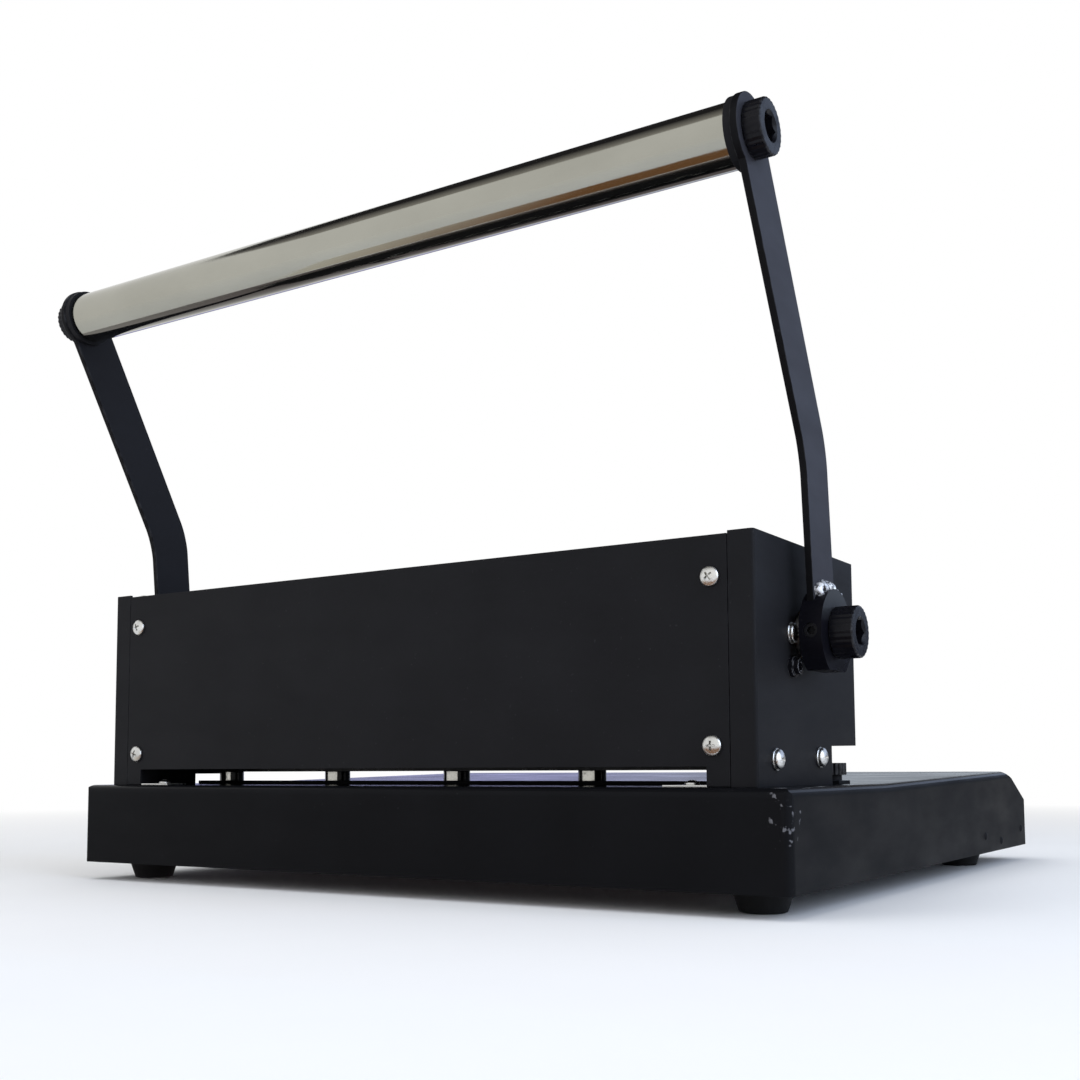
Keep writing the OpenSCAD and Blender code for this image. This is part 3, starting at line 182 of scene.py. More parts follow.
class Finish:
    """A procedural material while it is being wired up."""

    def __init__(self, name, colour, roughness, metallic=0.0, gloss=0.5):
        self.material = bpy.data.materials.new(name)
        self.material.use_nodes = True
        self.tree = self.material.node_tree
        self.shader = self.tree.nodes["Principled BSDF"]
        self.feed("Base Color", (*colour, 1.0))
        self.feed("Roughness", roughness)
        self.feed("Metallic", metallic)
        self.feed("Specular IOR Level", gloss)
        self.place = self.add("ShaderNodeTexCoord").outputs["Object"]

    def add(self, kind, **settings):
        node = self.tree.nodes.new(kind)
        for key, value in settings.items():
            setattr(node, key, value)
        return node

    def put(self, socket, value):
        """Links a socket to another one, or sets its plain value."""
        if isinstance(value, bpy.types.NodeSocket):
            self.tree.links.new(value, socket)
        else:
            socket.default_value = value

    def feed(self, name, value):
        self.put(self.shader.inputs[name], value)

    def noise(self, size, detail=2.0, stretch=(1, 1, 1)):
        """Noise whose features are about size across, drawn out along the axes by stretch."""
        mapping = self.add("ShaderNodeMapping")
        self.put(mapping.inputs["Vector"], self.place)
        mapping.inputs["Scale"].default_value = [1 / s for s in stretch]
        node = self.add("ShaderNodeTexNoise")
        self.put(node.inputs["Vector"], mapping.outputs["Vector"])
        node.inputs["Scale"].default_value = 1 / size
        node.inputs["Detail"].default_value = detail
        return node.outputs["Fac"]

    def span(self, value, low, high, first=0.0, last=1.0):
        """Maps low..high of a value to first..last and stops there."""
        node = self.add("ShaderNodeMapRange")
        for name, number in zip(("From Min", "From Max", "To Min", "To Max"), (low, high, first, last)):
            node.inputs[name].default_value = number
        self.put(node.inputs["Value"], value)
        return node.outputs["Result"]

    def math(self, operation, first, second):
        node = self.add("ShaderNodeMath", operation=operation)
        self.put(node.inputs[0], first)
        self.put(node.inputs[1], second)
        return node.outputs[0]

    def colours(self, share, first, second):
        """Goes from the first colour to the second by share."""
        node = self.add("ShaderNodeMix", data_type="RGBA")
        self.put(node.inputs[0], share)
        for socket, value in zip(node.inputs[6:8], (first, second)):
            self.put(socket, value if isinstance(value, bpy.types.NodeSocket) else (*value, 1.0))
        return node.outputs[2]

    def amounts(self, share, first, second):
        """Goes from the first amount to the second by share."""
        node = self.add("ShaderNodeMix", data_type="FLOAT")
        self.put(node.inputs[0], share)
        self.put(node.inputs[2], first)
        self.put(node.inputs[3], second)
        return node.outputs[0]

    def along(self, axis):
        """Place on the object along X, Y or Z."""
        node = self.add("ShaderNodeSeparateXYZ")
        self.put(node.inputs[0], self.place)
        return node.outputs[axis]

    def near(self, spot, reach):
        """One at a spot of the object, falling to nothing at reach from it."""
        node = self.add("ShaderNodeVectorMath", operation="DISTANCE")
        self.put(node.inputs[0], self.place)
        node.inputs[1].default_value = spot
        return self.span(node.outputs["Value"], 0.0, reach, 1.0, 0.0)

    def mark(self, name):
        """One on the faces of a piece that carry a mark, such as its eased edges."""
        return self.add("ShaderNodeAttribute", attribute_name=name).outputs["Fac"]

    def patchy_mark(self, name, size, detail, low, high):
        """A mark that noise has broken up into patches."""
        patches = self.span(self.noise(size, detail), low, high)
        return self.math("MULTIPLY", self.mark(name), patches)

    def bump(self, height, depth, strength=1.0):
        node = self.add("ShaderNodeBump")
        self.put(node.inputs["Height"], height)
        node.inputs["Distance"].default_value = depth
        node.inputs["Strength"].default_value = strength
        self.feed("Normal", node.outputs["Normal"])


def chipped(finish, tone, spots):
    """Tone of a paint that has flaked off to bare metal round some spots."""
    bare = finish.near(spots[0], CHIP_REACH)
    for spot in spots[1:]:
        bare = finish.math("MAXIMUM", bare, finish.near(spot, CHIP_REACH))
    flake = finish.math("MULTIPLY", bare, finish.span(finish.noise(3.4 * MM, 5.0), 0.50, 0.72))
    return finish.colours(finish.span(flake, 0.34, 0.46), tone, CHIP_TONE)


def black_coat(name, colour=SHEET_TONE, gloss=0.07, chips=(), rough=SHEET_ROUGH, flats=None):
    """Baked black paint with an orange peel, worn edges and dust, and flats of another tone and roughness; on the
    arms and hubs that lighter tone is painted sheen and painted light.
    """
    finish = Finish(name, colour, 0.5, gloss=gloss)
    peel = finish.noise(0.9 * MM, 3.0)
    cloud = finish.noise(42 * MM, 3.0)
    smear = finish.noise(14 * MM, 4.0, (3, 3, 1))
    tone = finish.colours(finish.span(cloud, 0.3, 0.7), colour, [1.25 * c for c in colour])
    tone = finish.colours(finish.patchy_mark("worn_edge", 5 * MM, 4.0, 0.42, 0.7), tone, RUBBED_TONE)
    dust = finish.span(finish.noise(1.6 * MM, 1.0), 0.74, 0.8, 0.0, 0.3)
    tone = finish.colours(dust, tone, DUST_TONE)
    if chips:
        tone = chipped(finish, tone, chips)
    roughness = finish.span(smear, 0.3, 0.72, *rough)
    if flats:
        # On the arms and hubs the flats' lighter tone is painted sheen and painted light; the table's flats keep
        # its tone and only get smoother
        flat_tone_and_painted_light, flat_rough, heights = flats
        share = finish.math("MULTIPLY", finish.mark("flat_face"), finish.span(finish.along("Z"), *heights))
        tone = finish.colours(share, tone, flat_tone_and_painted_light)
        roughness = finish.amounts(share, roughness, finish.span(smear, 0.3, 0.72, *flat_rough))
    finish.feed("Base Color", tone)
    finish.feed("Roughness", roughness)
    finish.bump(peel, 0.05 * MM, 0.35)
    return finish.material


def black_oxide(name, gloss=0.2, wear_and_painted_highlight=(0.05, 0.05, 0.054)):
    """Oiled black steel of the socket screws, with worn edges; a bright edge tone, as on the bearing screws, is
    partly wear and partly a painted highlight.
    """
    finish = Finish(name, OXIDE_TONE, 0.3, gloss=gloss)
    edges = finish.patchy_mark("worn_edge", 2.5 * MM, 3.0, 0.4, 0.7)
    finish.feed("Base Color", finish.colours(edges, OXIDE_TONE, wear_and_painted_highlight))
    finish.feed("Roughness", finish.span(finish.noise(3 * MM, 3.0), 0.3, 0.7, 0.22, 0.40))
    finish.bump(finish.noise(0.5 * MM, 2.0), 0.02 * MM, 0.4)
    return finish.material


def bright_metal(name, colour, rough, grain=(1, 1, 1)):
    """Bare or plated metal with a fine grain drawn out along its working direction."""
    finish = Finish(name, colour, rough, 1.0)
    grainy = finish.noise(0.6 * MM, 3.0, grain)
    stain = finish.noise(7 * MM, 4.0)
    dull = [0.72 * c for c in colour]
    finish.feed("Base Color", finish.colours(finish.span(stain, 0.35, 0.75), colour, dull))
    finish.feed("Roughness", finish.span(grainy, 0.3, 0.7, 0.75 * rough, 1.35 * rough))
    finish.bump(grainy, 0.012 * MM, 0.5)
    return finish.material


def chrome(name):
    """Chromed tube with fine handling scratches along it and a little haze."""
    bright = (0.40, 0.395, 0.345)
    hazy = (0.35, 0.345, 0.30)
    finish = Finish(name, bright, 0.1, 1.0)
    scratch = finish.noise(0.5 * MM, 2.0, (60, 1, 1))
    haze = finish.noise(30 * MM, 4.0, (2, 1, 1))
    finish.feed("Base Color", finish.colours(finish.span(haze, 0.35, 0.7), bright, hazy))
    finish.feed("Roughness", finish.span(finish.math("MULTIPLY", scratch, haze), 0.12, 0.42, 0.05, 0.17))
    finish.bump(scratch, 0.004 * MM, 0.4)
    return finish.material


def moulded(name, colour, rough, grain_size):
    """Moulded rubber or plastic with a matt grain."""
    finish = Finish(name, colour, rough, gloss=0.2)
    grain = finish.noise(grain_size, 3.0)
    scuff = finish.span(finish.noise(11 * MM, 4.0), 0.5, 0.75)
    finish.feed("Base Color", finish.colours(scuff, colour, [1.8 * c for c in colour]))
    finish.feed("Roughness", finish.span(grain, 0.3, 0.7, rough - 0.1, rough + 0.1))
    finish.bump(grain, 0.03 * MM, 0.5)
    return finish.material


def blackened_steel(name):
    """Turned spacers, black apart from a painted highlight strip on the side that faces the slot."""
    wear_and_painted_highlight = (0.52, 0.51, 0.47)
    finish = Finish(name, SPACER_TONE, 0.16, 1.0)
    strip = finish.patchy_mark("flat_face", 4 * MM, 3.0, 0.25, 0.45)
    finish.feed("Base Color", finish.colours(strip, SPACER_TONE, wear_and_painted_highlight))
    finish.feed("Roughness", finish.span(finish.noise(0.6 * MM, 3.0), 0.3, 0.7, 0.10, 0.22))
    return finish.material


def weld_paint(name):
    """Painted weld bead whose paint has flaked off in bright patches."""
    bare = (0.74, 0.76, 0.80)
    finish = Finish(name, WELD_TONE, 0.3, gloss=0.6)
    flake = finish.span(finish.noise(2.4 * MM, 4.0), 0.40, 0.50)
    finish.feed("Base Color", finish.colours(flake, WELD_TONE, bare))
    finish.feed("Roughness", finish.span(flake, 0.0, 1.0, 0.24, 0.38))
    finish.feed("Metallic", finish.span(flake, 0.0, 1.0, 0.0, 0.6))
    finish.bump(finish.noise(0.8 * MM, 3.0), 0.15 * MM, 0.6)
    return finish.material


FINISHES = {
    "black_coat": black_coat("black_coat_sheet"),
    "black_oxide": black_oxide("black_oxide_screws"),
    "zinc": bright_metal("zinc_plate", (0.72, 0.72, 0.70), 0.30),
    "steel": bright_metal("ground_steel", (0.50, 0.50, 0.51), 0.34, (30, 1, 1)),
    "chrome": chrome("chromed_tube"),
    "bronze": bright_metal("sintered_bronze", (0.62, 0.42, 0.20), 0.40),
    "nylon": moulded("nylon_bush", (0.62, 0.60, 0.54), 0.5, 0.6 * MM),
    "rubber": moulded("black_rubber", (0.006, 0.006, 0.0065), 0.68, 0.5 * MM),
    "black_plastic": moulded("black_plastic", (0.007, 0.007, 0.0075), 0.48, 0.7 * MM),
}

# Chips at the base's rear corner on the right
NEAR_CORNER = Vector((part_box("base_pan")[0].x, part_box("base_pan")[1].y, TABLE_TOP))
CHIP_OFFSETS = ((0, -4, -4), (0, -2, -15), (3, 0, -2))
CORNER_CHIPS = [NEAR_CORNER + Vector(offset) * MM for offset in CHIP_OFFSETS]

# Tone and roughness of marked flats, and the heights between which they set in. The table's flats keep its tone
# and only get smoother; the arms' lighter outer faces are painted sheen, and the hubs' outer faces, lighter from
# just above the hinge upwards, are painted light from above
HUB_PAINTED_LIGHT_HEIGHTS = [HINGE["handle_swing"].z + height * MM for height in (3, 16)]
TABLE_FLATS = (BASE_TONE, (0.16, 0.24), (0.0, TABLE_TOP / 2))
HUB_PAINTED_LIGHT = ((0.046, 0.049, 0.053), (0.40, 0.52), HUB_PAINTED_LIGHT_HEIGHTS)
ARM_PAINTED_SHEEN = ((0.0295, 0.0300, 0.0370), SHEET_ROUGH, (0.0, TABLE_TOP))

BASE_COAT = black_coat("black_coat_base", BASE_TONE, 0.05, CORNER_CHIPS, flats=TABLE_FLATS)
ARM_COAT = black_coat("black_coat_arms_painted_sheen", ARM_TONE, 0.10, flats=ARM_PAINTED_SHEEN)
HUB_COAT = black_coat("black_coat_hubs_painted_light", HUB_TONE, 0.05, rough=HUB_ROUGH, flats=HUB_PAINTED_LIGHT)
CAP_OXIDE = black_oxide("black_oxide_caps", 0.14, (0.022, 0.022, 0.024))
# Bright worn edges of the bearing screws: partly wear, partly a painted highlight on their rims
BEARING_OXIDE = black_oxide("black_oxide_bearings", 0.2, (0.36, 0.36, 0.38))
SPACER_STEEL = blackened_steel("turned_spacers_painted_highlight")
WELD_COAT = weld_paint("black_coat_weld")


def add_object(name, bm):
    mesh = bpy.data.meshes.new(name)
    bm.to_mesh(mesh)
    bm.free()
    obj = bpy.data.objects.new(name, mesh)
    bpy.context.scene.collection.objects.link(obj)
    return obj


def smooth_shading(mesh, sharp):
    """Smooth normals in which the large faces stay flat and only the eased edges turn."""
    bm = bmesh.new()
    bm.from_mesh(mesh)
    limit = cos(sharp)
    areas = [face.calc_area() for face in bm.faces]
    bm.faces.index_update()
    normals = []
    for face in bm.faces:
        for vert in (loop.vert for loop in face.loops):
            near = [f for f in vert.link_faces if f.normal.dot(face.normal) > limit]
            normal = sum((f.normal * areas[f.index] for f in near), Vector())
            normals.append(normal.normalized() if normal.length > 0 else face.normal.copy())
    bm.free()
    mesh.shade_smooth()
    mesh.normals_split_custom_set(normals)


def new_piece(name, bm, like, material=None, sharp=PLAIN_SMOOTH):
    """Turns a bmesh into a piece that rides on the body of a CAD node and wears the finish of its slot, unless
    another material is given.
    """
    obj = add_object(name, bm)
    obj.data.materials.append(material or FINISHES[SLOT_OF[like]])
    smooth_shading(obj.data, sharp)
    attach(obj, BODY_OF[like])
    return obj


def finish_piece(node, bm, material=None, sharp=PLAIN_SMOOTH):
    """Turns a bmesh into a piece that stands for a CAD node."""
    obj = new_piece(node + "_piece", bm, node, material, sharp)
    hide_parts(node)
    return obj


def merged_copy(node):
    bm = bmesh.new()
    bm.from_mesh(frame["nodes"][node].data)
    bmesh.ops.remove_doubles(bm, verts=bm.verts, dist=WELD_DISTANCE)
    return bm


def flat_copy(node):
    """A copy of a CAD node whose flat faces are joined up."""
    bm = merged_copy(node)
    bmesh.ops.dissolve_limit(bm, angle_limit=FLAT_ANGLE, verts=bm.verts, edges=bm.edges)
    return bm


def everything(bm):
    return bm.verts[:] + bm.edges[:] + bm.faces[:]


def close_up(bm):
    """Merges doubled points and turns all faces outwards."""
    bmesh.ops.remove_doubles(bm, verts=bm.verts, dist=WELD_DISTANCE)
    bmesh.ops.recalc_face_normals(bm, faces=bm.faces)


def round_edges(bm, edges, width, segments):
    """Rounds edges and gives back the new faces."""
    made = bmesh.ops.bevel(
        bm, geom=edges, offset=width, offset_type="OFFSET", segments=segments,
        profile=0.5, affect="EDGES", clamp_overlap=True, material=-1,
    )
    return made["faces"]


def worn_layer(bm):
    layers = bm.faces.layers.float
    return layers.get("worn_edge") or layers.new("worn_edge")


def ease_edges(bm, width, segments=2):
    """Rounds every sharp edge and marks the new faces as worn."""
    worn = worn_layer(bm)
    edges = [e for e in bm.edges if len(e.link_faces) == 2 and e.calc_face_angle(0.0) > SHARP_ANGLE]
    for face in round_edges(bm, edges, width, segments):
        face[worn] = 1.0


def mark_flats(bm, direction, limit, back=0.0):
    """Marks the faces that look along a direction fully, and those that look the other way by back."""
    bm.normal_update()
    flat = bm.faces.layers.float.new("flat_face")
    for face in bm.faces:
        along = face.normal.dot(direction)
        if along > limit:
            face[flat] = 1.0
        elif along < -limit:
            face[flat] = back


def lathe(profile, steps=48):
    """Spins a profile of radius and height points round Z into a closed shape."""
    bm = bmesh.new()
    verts = [bm.verts.new((r, 0, z)) for r, z in profile]
    edges = [bm.edges.new(pair) for pair in zip(verts, verts[1:])]
    bmesh.ops.spin(
        bm, geom=verts + edges, cent=(0, 0, 0), axis=UP, angle=2 * pi, steps=steps, use_merge=True,
    )
    close_up(bm)
    return bm


def arc(centre, radius, start, end, steps):
    """Points of a round stretch of a profile, with angles in degrees."""
    angles = [radians(start + (end - start) * i / steps) for i in range(steps + 1)]
    return [(centre[0] + radius * cos(a), centre[1] + radius * sin(a)) for a in angles]


def carve(bm, tool):
    """Cuts one bmesh out of another."""
    body = add_object("body_blank", bm)
    cutter = add_object("cutter", tool)
    cut = body.modifiers.new("cut", "BOOLEAN")
    cut.object = cutter
    cut.operation = "DIFFERENCE"
    cut.solver = "EXACT"
    cut.use_self = True
    bpy.context.view_layer.update()
    mesh = bpy.data.meshes.new_from_object(body.evaluated_get(bpy.context.evaluated_depsgraph_get()))
    carved = bmesh.new()
    carved.from_mesh(mesh)
    for obj in (body, cutter):
        blank = obj.data
        bpy.data.objects.remove(obj)
        bpy.data.meshes.remove(blank)
    bpy.data.meshes.remove(mesh)
    return carved


def add_copies(bm, shape, places):
    """Adds a copy of a shape to a bmesh at each place, and uses the shape up."""
    blank = bpy.data.meshes.new("blank")
    shape.to_mesh(blank)
    shape.free()
    for place in places:
        copy = blank.copy()
        copy.transform(place)
        bm.from_mesh(copy)
        bpy.data.meshes.remove(copy)
    bpy.data.meshes.remove(blank)


def gather(shape, places):
    """One bmesh with a copy of the shape at each place."""
    bm = bmesh.new()
    add_copies(bm, shape, places)
    return bm


def islands(node):
    """Lowest and highest corner of each separate solid of a node."""
    bm = merged_copy(node)
    boxes = []
    left = set(bm.verts)
    while left:
        reached = {left.pop()}
        front = list(reached)
        while front:
            vert = front.pop()
            for edge in vert.link_edges:
                other = edge.other_vert(vert)
                if other not in reached:
                    reached.add(other)
                    front.append(other)
        left -= reached
        corners = [[f(v.co[i] for v in reached) for i in range(3)] for f in (min, max)]
        boxes.append((Vector(corners[0]), Vector(corners[1])))
    bm.free()
    return sorted(boxes, key=lambda box: tuple(round(c, 4) for c in box[0]))


def standing(boxes):
    """Places at the middle of the underside of each box."""
    return [Matrix.Translation(((a.x + b.x) / 2, (a.y + b.y) / 2, a.z)) for a, b in boxes]


def facing(point, direction, turn=0.0):
    """Places a shape drawn along +Z at a point, pointing along direction."""
    tilt = UP.rotation_difference(direction).to_matrix().to_4x4()
    return Matrix.Translation(point) @ tilt @ Matrix.Rotation(turn, 4, "Z")


def outward(point):
    return LEFTWARD if point.x > 0 else RIGHTWARD


def head_places(node, direction, head):
    """Seats of the screw heads of a node, head being how far a head stands proud of its seat."""
    places = []
    for index, (low, high) in enumerate(islands(node)):
        point = (low + high) / 2
        way = direction if isinstance(direction, Vector) else direction(point)
        axis = max(range(3), key=lambda i: abs(way[i]))
        point[axis] = (high[axis] if way[axis] > 0 else low[axis]) - way[axis] * head
        places.append(facing(point, way, index * TURN_STEP))
    return places


def eased_piece(node, width, segments=2):
    """A CAD node with its edges rounded."""
    bm = flat_copy(node)
    ease_edges(bm, width, segments)
    finish_piece(node, bm)


def base_tray():
    """Sheet tray whose table rises a little towards its front edge, as the photograph shows."""
    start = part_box("edge_guide")[0].y - TABLE_CLEAR
    bm = flat_copy("base_pan")
    end = min(v.co.y for v in bm.verts if v.co.z > TABLE_TOP - WELD_DISTANCE)
    bmesh.ops.bisect_plane(bm, geom=everything(bm), plane_co=(0, start, 0), plane_no=REARWARD)
    for vert in bm.verts:
        if vert.co.z > TABLE_TOP - TABLE_DEPTH and vert.co.y < start:
            vert.co.z += TABLE_RISE * min(1.0, (start - vert.co.y) / (start - end))
    ease_edges(bm, SHEET_EASE)
    mark_flats(bm, UP, TABLE_FACE)
    finish_piece("base_pan", bm, BASE_COAT)


def round_bend(bm):
    """Rounds the bend of an arm, whose two edges lie across the bar."""
    bends = []
    for edge in bm.edges:
        way = (edge.verts[1].co - edge.verts[0].co).normalized()
        if abs(way.dot(LEFTWARD)) > OUTER_FACE and BEND_LEAST < edge.calc_face_angle(0.0) < SHARP_ANGLE:
            bends.append(edge)
    round_edges(bm, bends, BEND_REACH, BEND_STEPS)


def handle_side(node, ease, material, segments):
    """Arm or hub whose outer face is painted lighter than its edges: painted sheen on the arms, painted light from
    above on the hubs.
    """
    bm = flat_copy(node)
    round_bend(bm)
    ease_edges(bm, ease, segments)
    mark_flats(bm, outward(sum(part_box(node), Vector())), OUTER_FACE, INNER_PAINTED_LIGHT_SHARE)
    finish_piece(node, bm, material)


def throat_spacers():
    """Round spacers with a painted highlight strip on the side that faces the slot."""
    bm = flat_copy("throat_spacers")
    ease_edges(bm, SMALL_EASE)
    mark_flats(bm, PAINTED_HIGHLIGHT_SIDE, PAINTED_HIGHLIGHT_FACE)
    finish_piece("throat_spacers", bm, SPACER_STEEL)


def throat_sill():
    """Low black strip that lies on the die behind the spacers."""
    spacers_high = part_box("throat_spacers")[1]
    length = 2 * (spacers_high.x + SILL_PAST)
    middle = Vector((0, spacers_high.y + SILL_GAP + SILL_DEPTH / 2, TABLE_TOP + SILL_HEIGHT / 2))
    bm = bmesh.new()
    bmesh.ops.create_cube(bm, size=1.0)
    bmesh.ops.scale(bm, vec=(length, SILL_DEPTH, SILL_HEIGHT), verts=bm.verts)
    bmesh.ops.translate(bm, vec=middle, verts=bm.verts)
    ease_edges(bm, SMALL_EASE)
    new_piece("throat_sill", bm, "rear_panel")


def cross_recess(d, top):
    """Tool for a tapered cross in the top of a screw head."""
    bm = bmesh.new()
    for turn in (0, 1):
        made = bmesh.ops.create_cube(bm, size=1.0)["verts"]
        for vert in made:
            lower = vert.co.z < 0
            vert.co.x *= (0.62 if lower else 1.12) * d
            vert.co.y *= (0.12 if lower else 0.24) * d
            vert.co.z = top + (-0.36 if lower else 0.08) * d
        bmesh.ops.rotate(bm, verts=made, cent=(0, 0, 0), matrix=Matrix.Rotation(turn * pi / 2, 3, "Z"))
    return bm


def hexagon_recess(key, length):
    """Tool for a hexagon recess half as deep as a head is long."""
    corner = key / 2 / cos(pi / 6)
    bm = bmesh.new()
    bmesh.ops.create_cone(
        bm, cap_ends=True, segments=6, radius1=corner, radius2=corner,
        depth=length, matrix=Matrix.Translation(UP * length),
    )
    return bm


def pan_screw(d, shank):
    """Cross-recess pan head with its seat on z = 0 and a plain shank below."""
    rim = 0.3 * d
    top = PAN_HEIGHT * d
    dome_r = (d * d + (top - rim) ** 2) / (2 * (top - rim))
    sweep = degrees(atan2(d, dome_r - (top - rim)))
    dome = arc((0, top - dome_r), dome_r, 90, 90 - 0.93 * sweep, 8)
    shoulder = arc((0.9 * d, 0.22 * d), 0.1 * d, 40, 0, 3)
    foot = arc((0.94 * d, 0.06 * d), 0.06 * d, 0, -90, 2)
    stem = [(0.5 * d, 0.0), (0.5 * d, 0.4 * d - shank), (0.3 * d, -shank), (0.0, -shank)]
    return carve(lathe(dome + shoulder + foot + stem, 40), cross_recess(d, top))


def pan_screws(node, direction, d, shank):
    bm = gather(pan_screw(d, shank), head_places(node, direction, PAN_HEIGHT * d))
    bmesh.ops.remove_doubles(bm, verts=bm.verts, dist=WELD_DISTANCE)
    finish_piece(node, bm, sharp=SCREW_SMOOTH)


def washered_screws(node, d, shank):
    """Pan screws with a loose washer under each head."""
    seats = head_places(node, outward, PAN_HEIGHT * d)
    bm = gather(pan_screw(d, shank), seats)
    bore = d / 2
    rim = WASHER_RIM / 2
    washer = lathe([
        (bore, -WASHER_THICK), (rim - WASHER_EASE, -WASHER_THICK), (rim, WASHER_EASE - WASHER_THICK),
        (rim, -WASHER_EASE), (rim - WASHER_EASE, 0.0), (bore, 0.0), (bore, -WASHER_THICK),
    ])
    add_copies(bm, washer, seats)
    finish_piece(node, bm, sharp=SCREW_SMOOTH)


def ribbed_head(d, length):
    """Round head with ribs along its side and rounded rims."""
    bm = bmesh.new()
    disc = bmesh.ops.create_circle(bm, cap_ends=True, segments=4 * CAP_RIBS, radius=d / 2)["verts"]
    for index, vert in enumerate(disc):
        if index % 4 > 1:
            vert.co *= 1 - 2 * CAP_RIB_DEPTH / d
    risen = bmesh.ops.extrude_face_region(bm, geom=bm.faces[:])["geom"]
    raised = [v for v in risen if isinstance(v, bmesh.types.BMVert)]
    bmesh.ops.translate(bm, verts=raised, vec=UP * length)
    bmesh.ops.recalc_face_normals(bm, faces=bm.faces)
    worn = worn_layer(bm)
    rims = [e for e in bm.edges if abs(e.verts[0].co.z - e.verts[1].co.z) < WELD_DISTANCE]
    for face in round_edges(bm, rims, 0.035 * d, 3):
        face[worn] = 1.0
    return bm


def ribbed_cap(d, length, shank):
    """Socket head with a ribbed rim, a hexagon recess with a lead-in, and a plain shank."""
    lead = bmesh.new()
    bmesh.ops.create_cone(
        lead, cap_ends=True, segments=48, radius1=CAP_KEY * 0.46, radius2=CAP_KEY * 0.66,
        depth=CAP_KEY * 0.2, matrix=Matrix.Translation(UP * (length - CAP_KEY * 0.06)),
    )
    bm = carve(carve(ribbed_head(d, length), hexagon_recess(CAP_KEY, length)), lead)
    stem_r = CAP_THREAD / 2
    tip_r = 0.4 * CAP_THREAD
    stem = lathe([(0.0, 0.0), (stem_r, 0.0), (stem_r, 0.5 * MM - shank), (tip_r, -shank), (0.0, -shank)], 32)
    add_copies(bm, stem, [Matrix.Identity(4)])
    return bm


def ribbed_caps(node, seat, shank):
    """Large socket heads that stand on the outer face of a seat."""
    low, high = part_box(node)
    length = high.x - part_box(seat)[1].x
    cap = ribbed_cap(high.z - low.z, length, shank)
    finish_piece(node, gather(cap, head_places(node, outward, length)), CAP_OXIDE, CAP_SMOOTH)


def bearing_screws():
    """Flanged heads with a narrower boss and a hexagon recess."""
    node = "bearing_screws"
    low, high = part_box(node)
    rim = (high.z - low.z) / 2
    length = high.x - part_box("side_cover_left")[1].x
    flange = 0.45 * length
    boss = 0.74 * rim
    stem = 2.5 * MM
    key = 3.4 * MM
    shank = 10 * MM
    profile = [(0.0, length), (boss, length), (boss, flange), (rim, flange), (rim, 0.0)]
    profile += [(stem, 0.0), (stem, -shank), (0.0, -shank)]
    shape = carve(lathe(profile, 40), hexagon_recess(key, length))
    ease_edges(shape, SHEET_EASE)
    finish_piece(node, gather(shape, head_places(node, outward, length)), BEARING_OXIDE, CAP_SMOOTH)


def handle_tube():
    """Chromed tube with a real wall and softened ends."""
    low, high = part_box("handle_bar")
    outer = (high.z - low.z) / 2
    inner = outer - 1.5 * MM
    length = high.x - low.x
    ease = 0.4 * MM
    bm = lathe([
        (inner, 0.0), (outer - ease, 0.0), (outer, ease), (outer, length / 2), (outer, length - ease),
        (outer - ease, length), (inner, length), (inner, 0.0),
    ], 128)
    middle = (low + high) / 2
    right_end = Vector((low.x, middle.y, middle.z))
    bmesh.ops.transform(bm, verts=bm.verts, matrix=facing(right_end, LEFTWARD))
    finish_piece("handle_bar", bm, sharp=TUBE_SMOOTH)


def rubber_feet():
    """Tapered feet with a rounded rim and a well for the screw head."""
    boxes = islands("feet")
    low, high = boxes[0]
    top_r = (high.x - low.x) / 2
    height = high.z - low.z
    tip_r = 9.75 * MM
    well_r = 4.5 * MM
    well = 5 * MM
    lip = 0.4 * MM
    bore = 2.15 * MM
    shape = lathe([
        (bore, well), (well_r, well), (well_r, lip), (well_r + lip, 0.0), (tip_r - 1.0 * MM, 0.0),
        (tip_r - 0.3 * MM, 0.25 * MM), (tip_r, 0.9 * MM), (top_r - 0.15 * MM, height - 0.6 * MM),
        (top_r - 0.5 * MM, height), (bore, height), (bore, well),
    ])
    finish_piece("feet", gather(shape, standing(boxes)))


def wall_rivets():
    """Low domed rivets with a plain shank."""
    head = 1.0 * MM
    shank_r = 1.5 * MM
    shank = 3.5 * MM
    shape = lathe([
        (0.0, head), (0.9 * MM, 0.92 * MM), (1.6 * MM, 0.66 * MM), (2.05 * MM, 0.28 * MM), (2.2 * MM, 0.0),
        (shank_r, 0.0), (shank_r, -shank), (0.0, -shank),
    ], 28)
    finish_piece("brace_rivets", gather(shape, head_places("brace_rivets", outward, head)))


def return_springs():
    """Wire springs, one where each CAD spring stands."""
    wire = 0.8 * MM
    turns = 7
    steps = 32
    boxes = islands("return_springs")
    low, high = boxes[0]
    mean_r = (high.x - low.x) / 2 - wire
    rise = (high.z - low.z - 2 * wire) / (turns * steps)
    bm = bmesh.new()
    ring = bmesh.ops.create_circle(bm, cap_ends=True, segments=8, radius=wire)["verts"]
    start = Matrix.Translation((mean_r, 0, wire)) @ Matrix.Rotation(pi / 2, 4, "X")
    bmesh.ops.transform(bm, verts=ring, matrix=start)
    bmesh.ops.spin(
        bm, geom=everything(bm), cent=(0, 0, 0), axis=UP, dvec=(0, 0, rise),
        angle=turns * 2 * pi, steps=turns * steps,
    )
    close_up(bm)
    springs = finish_piece("return_springs", gather(bm, standing(boxes)))
    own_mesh(springs)


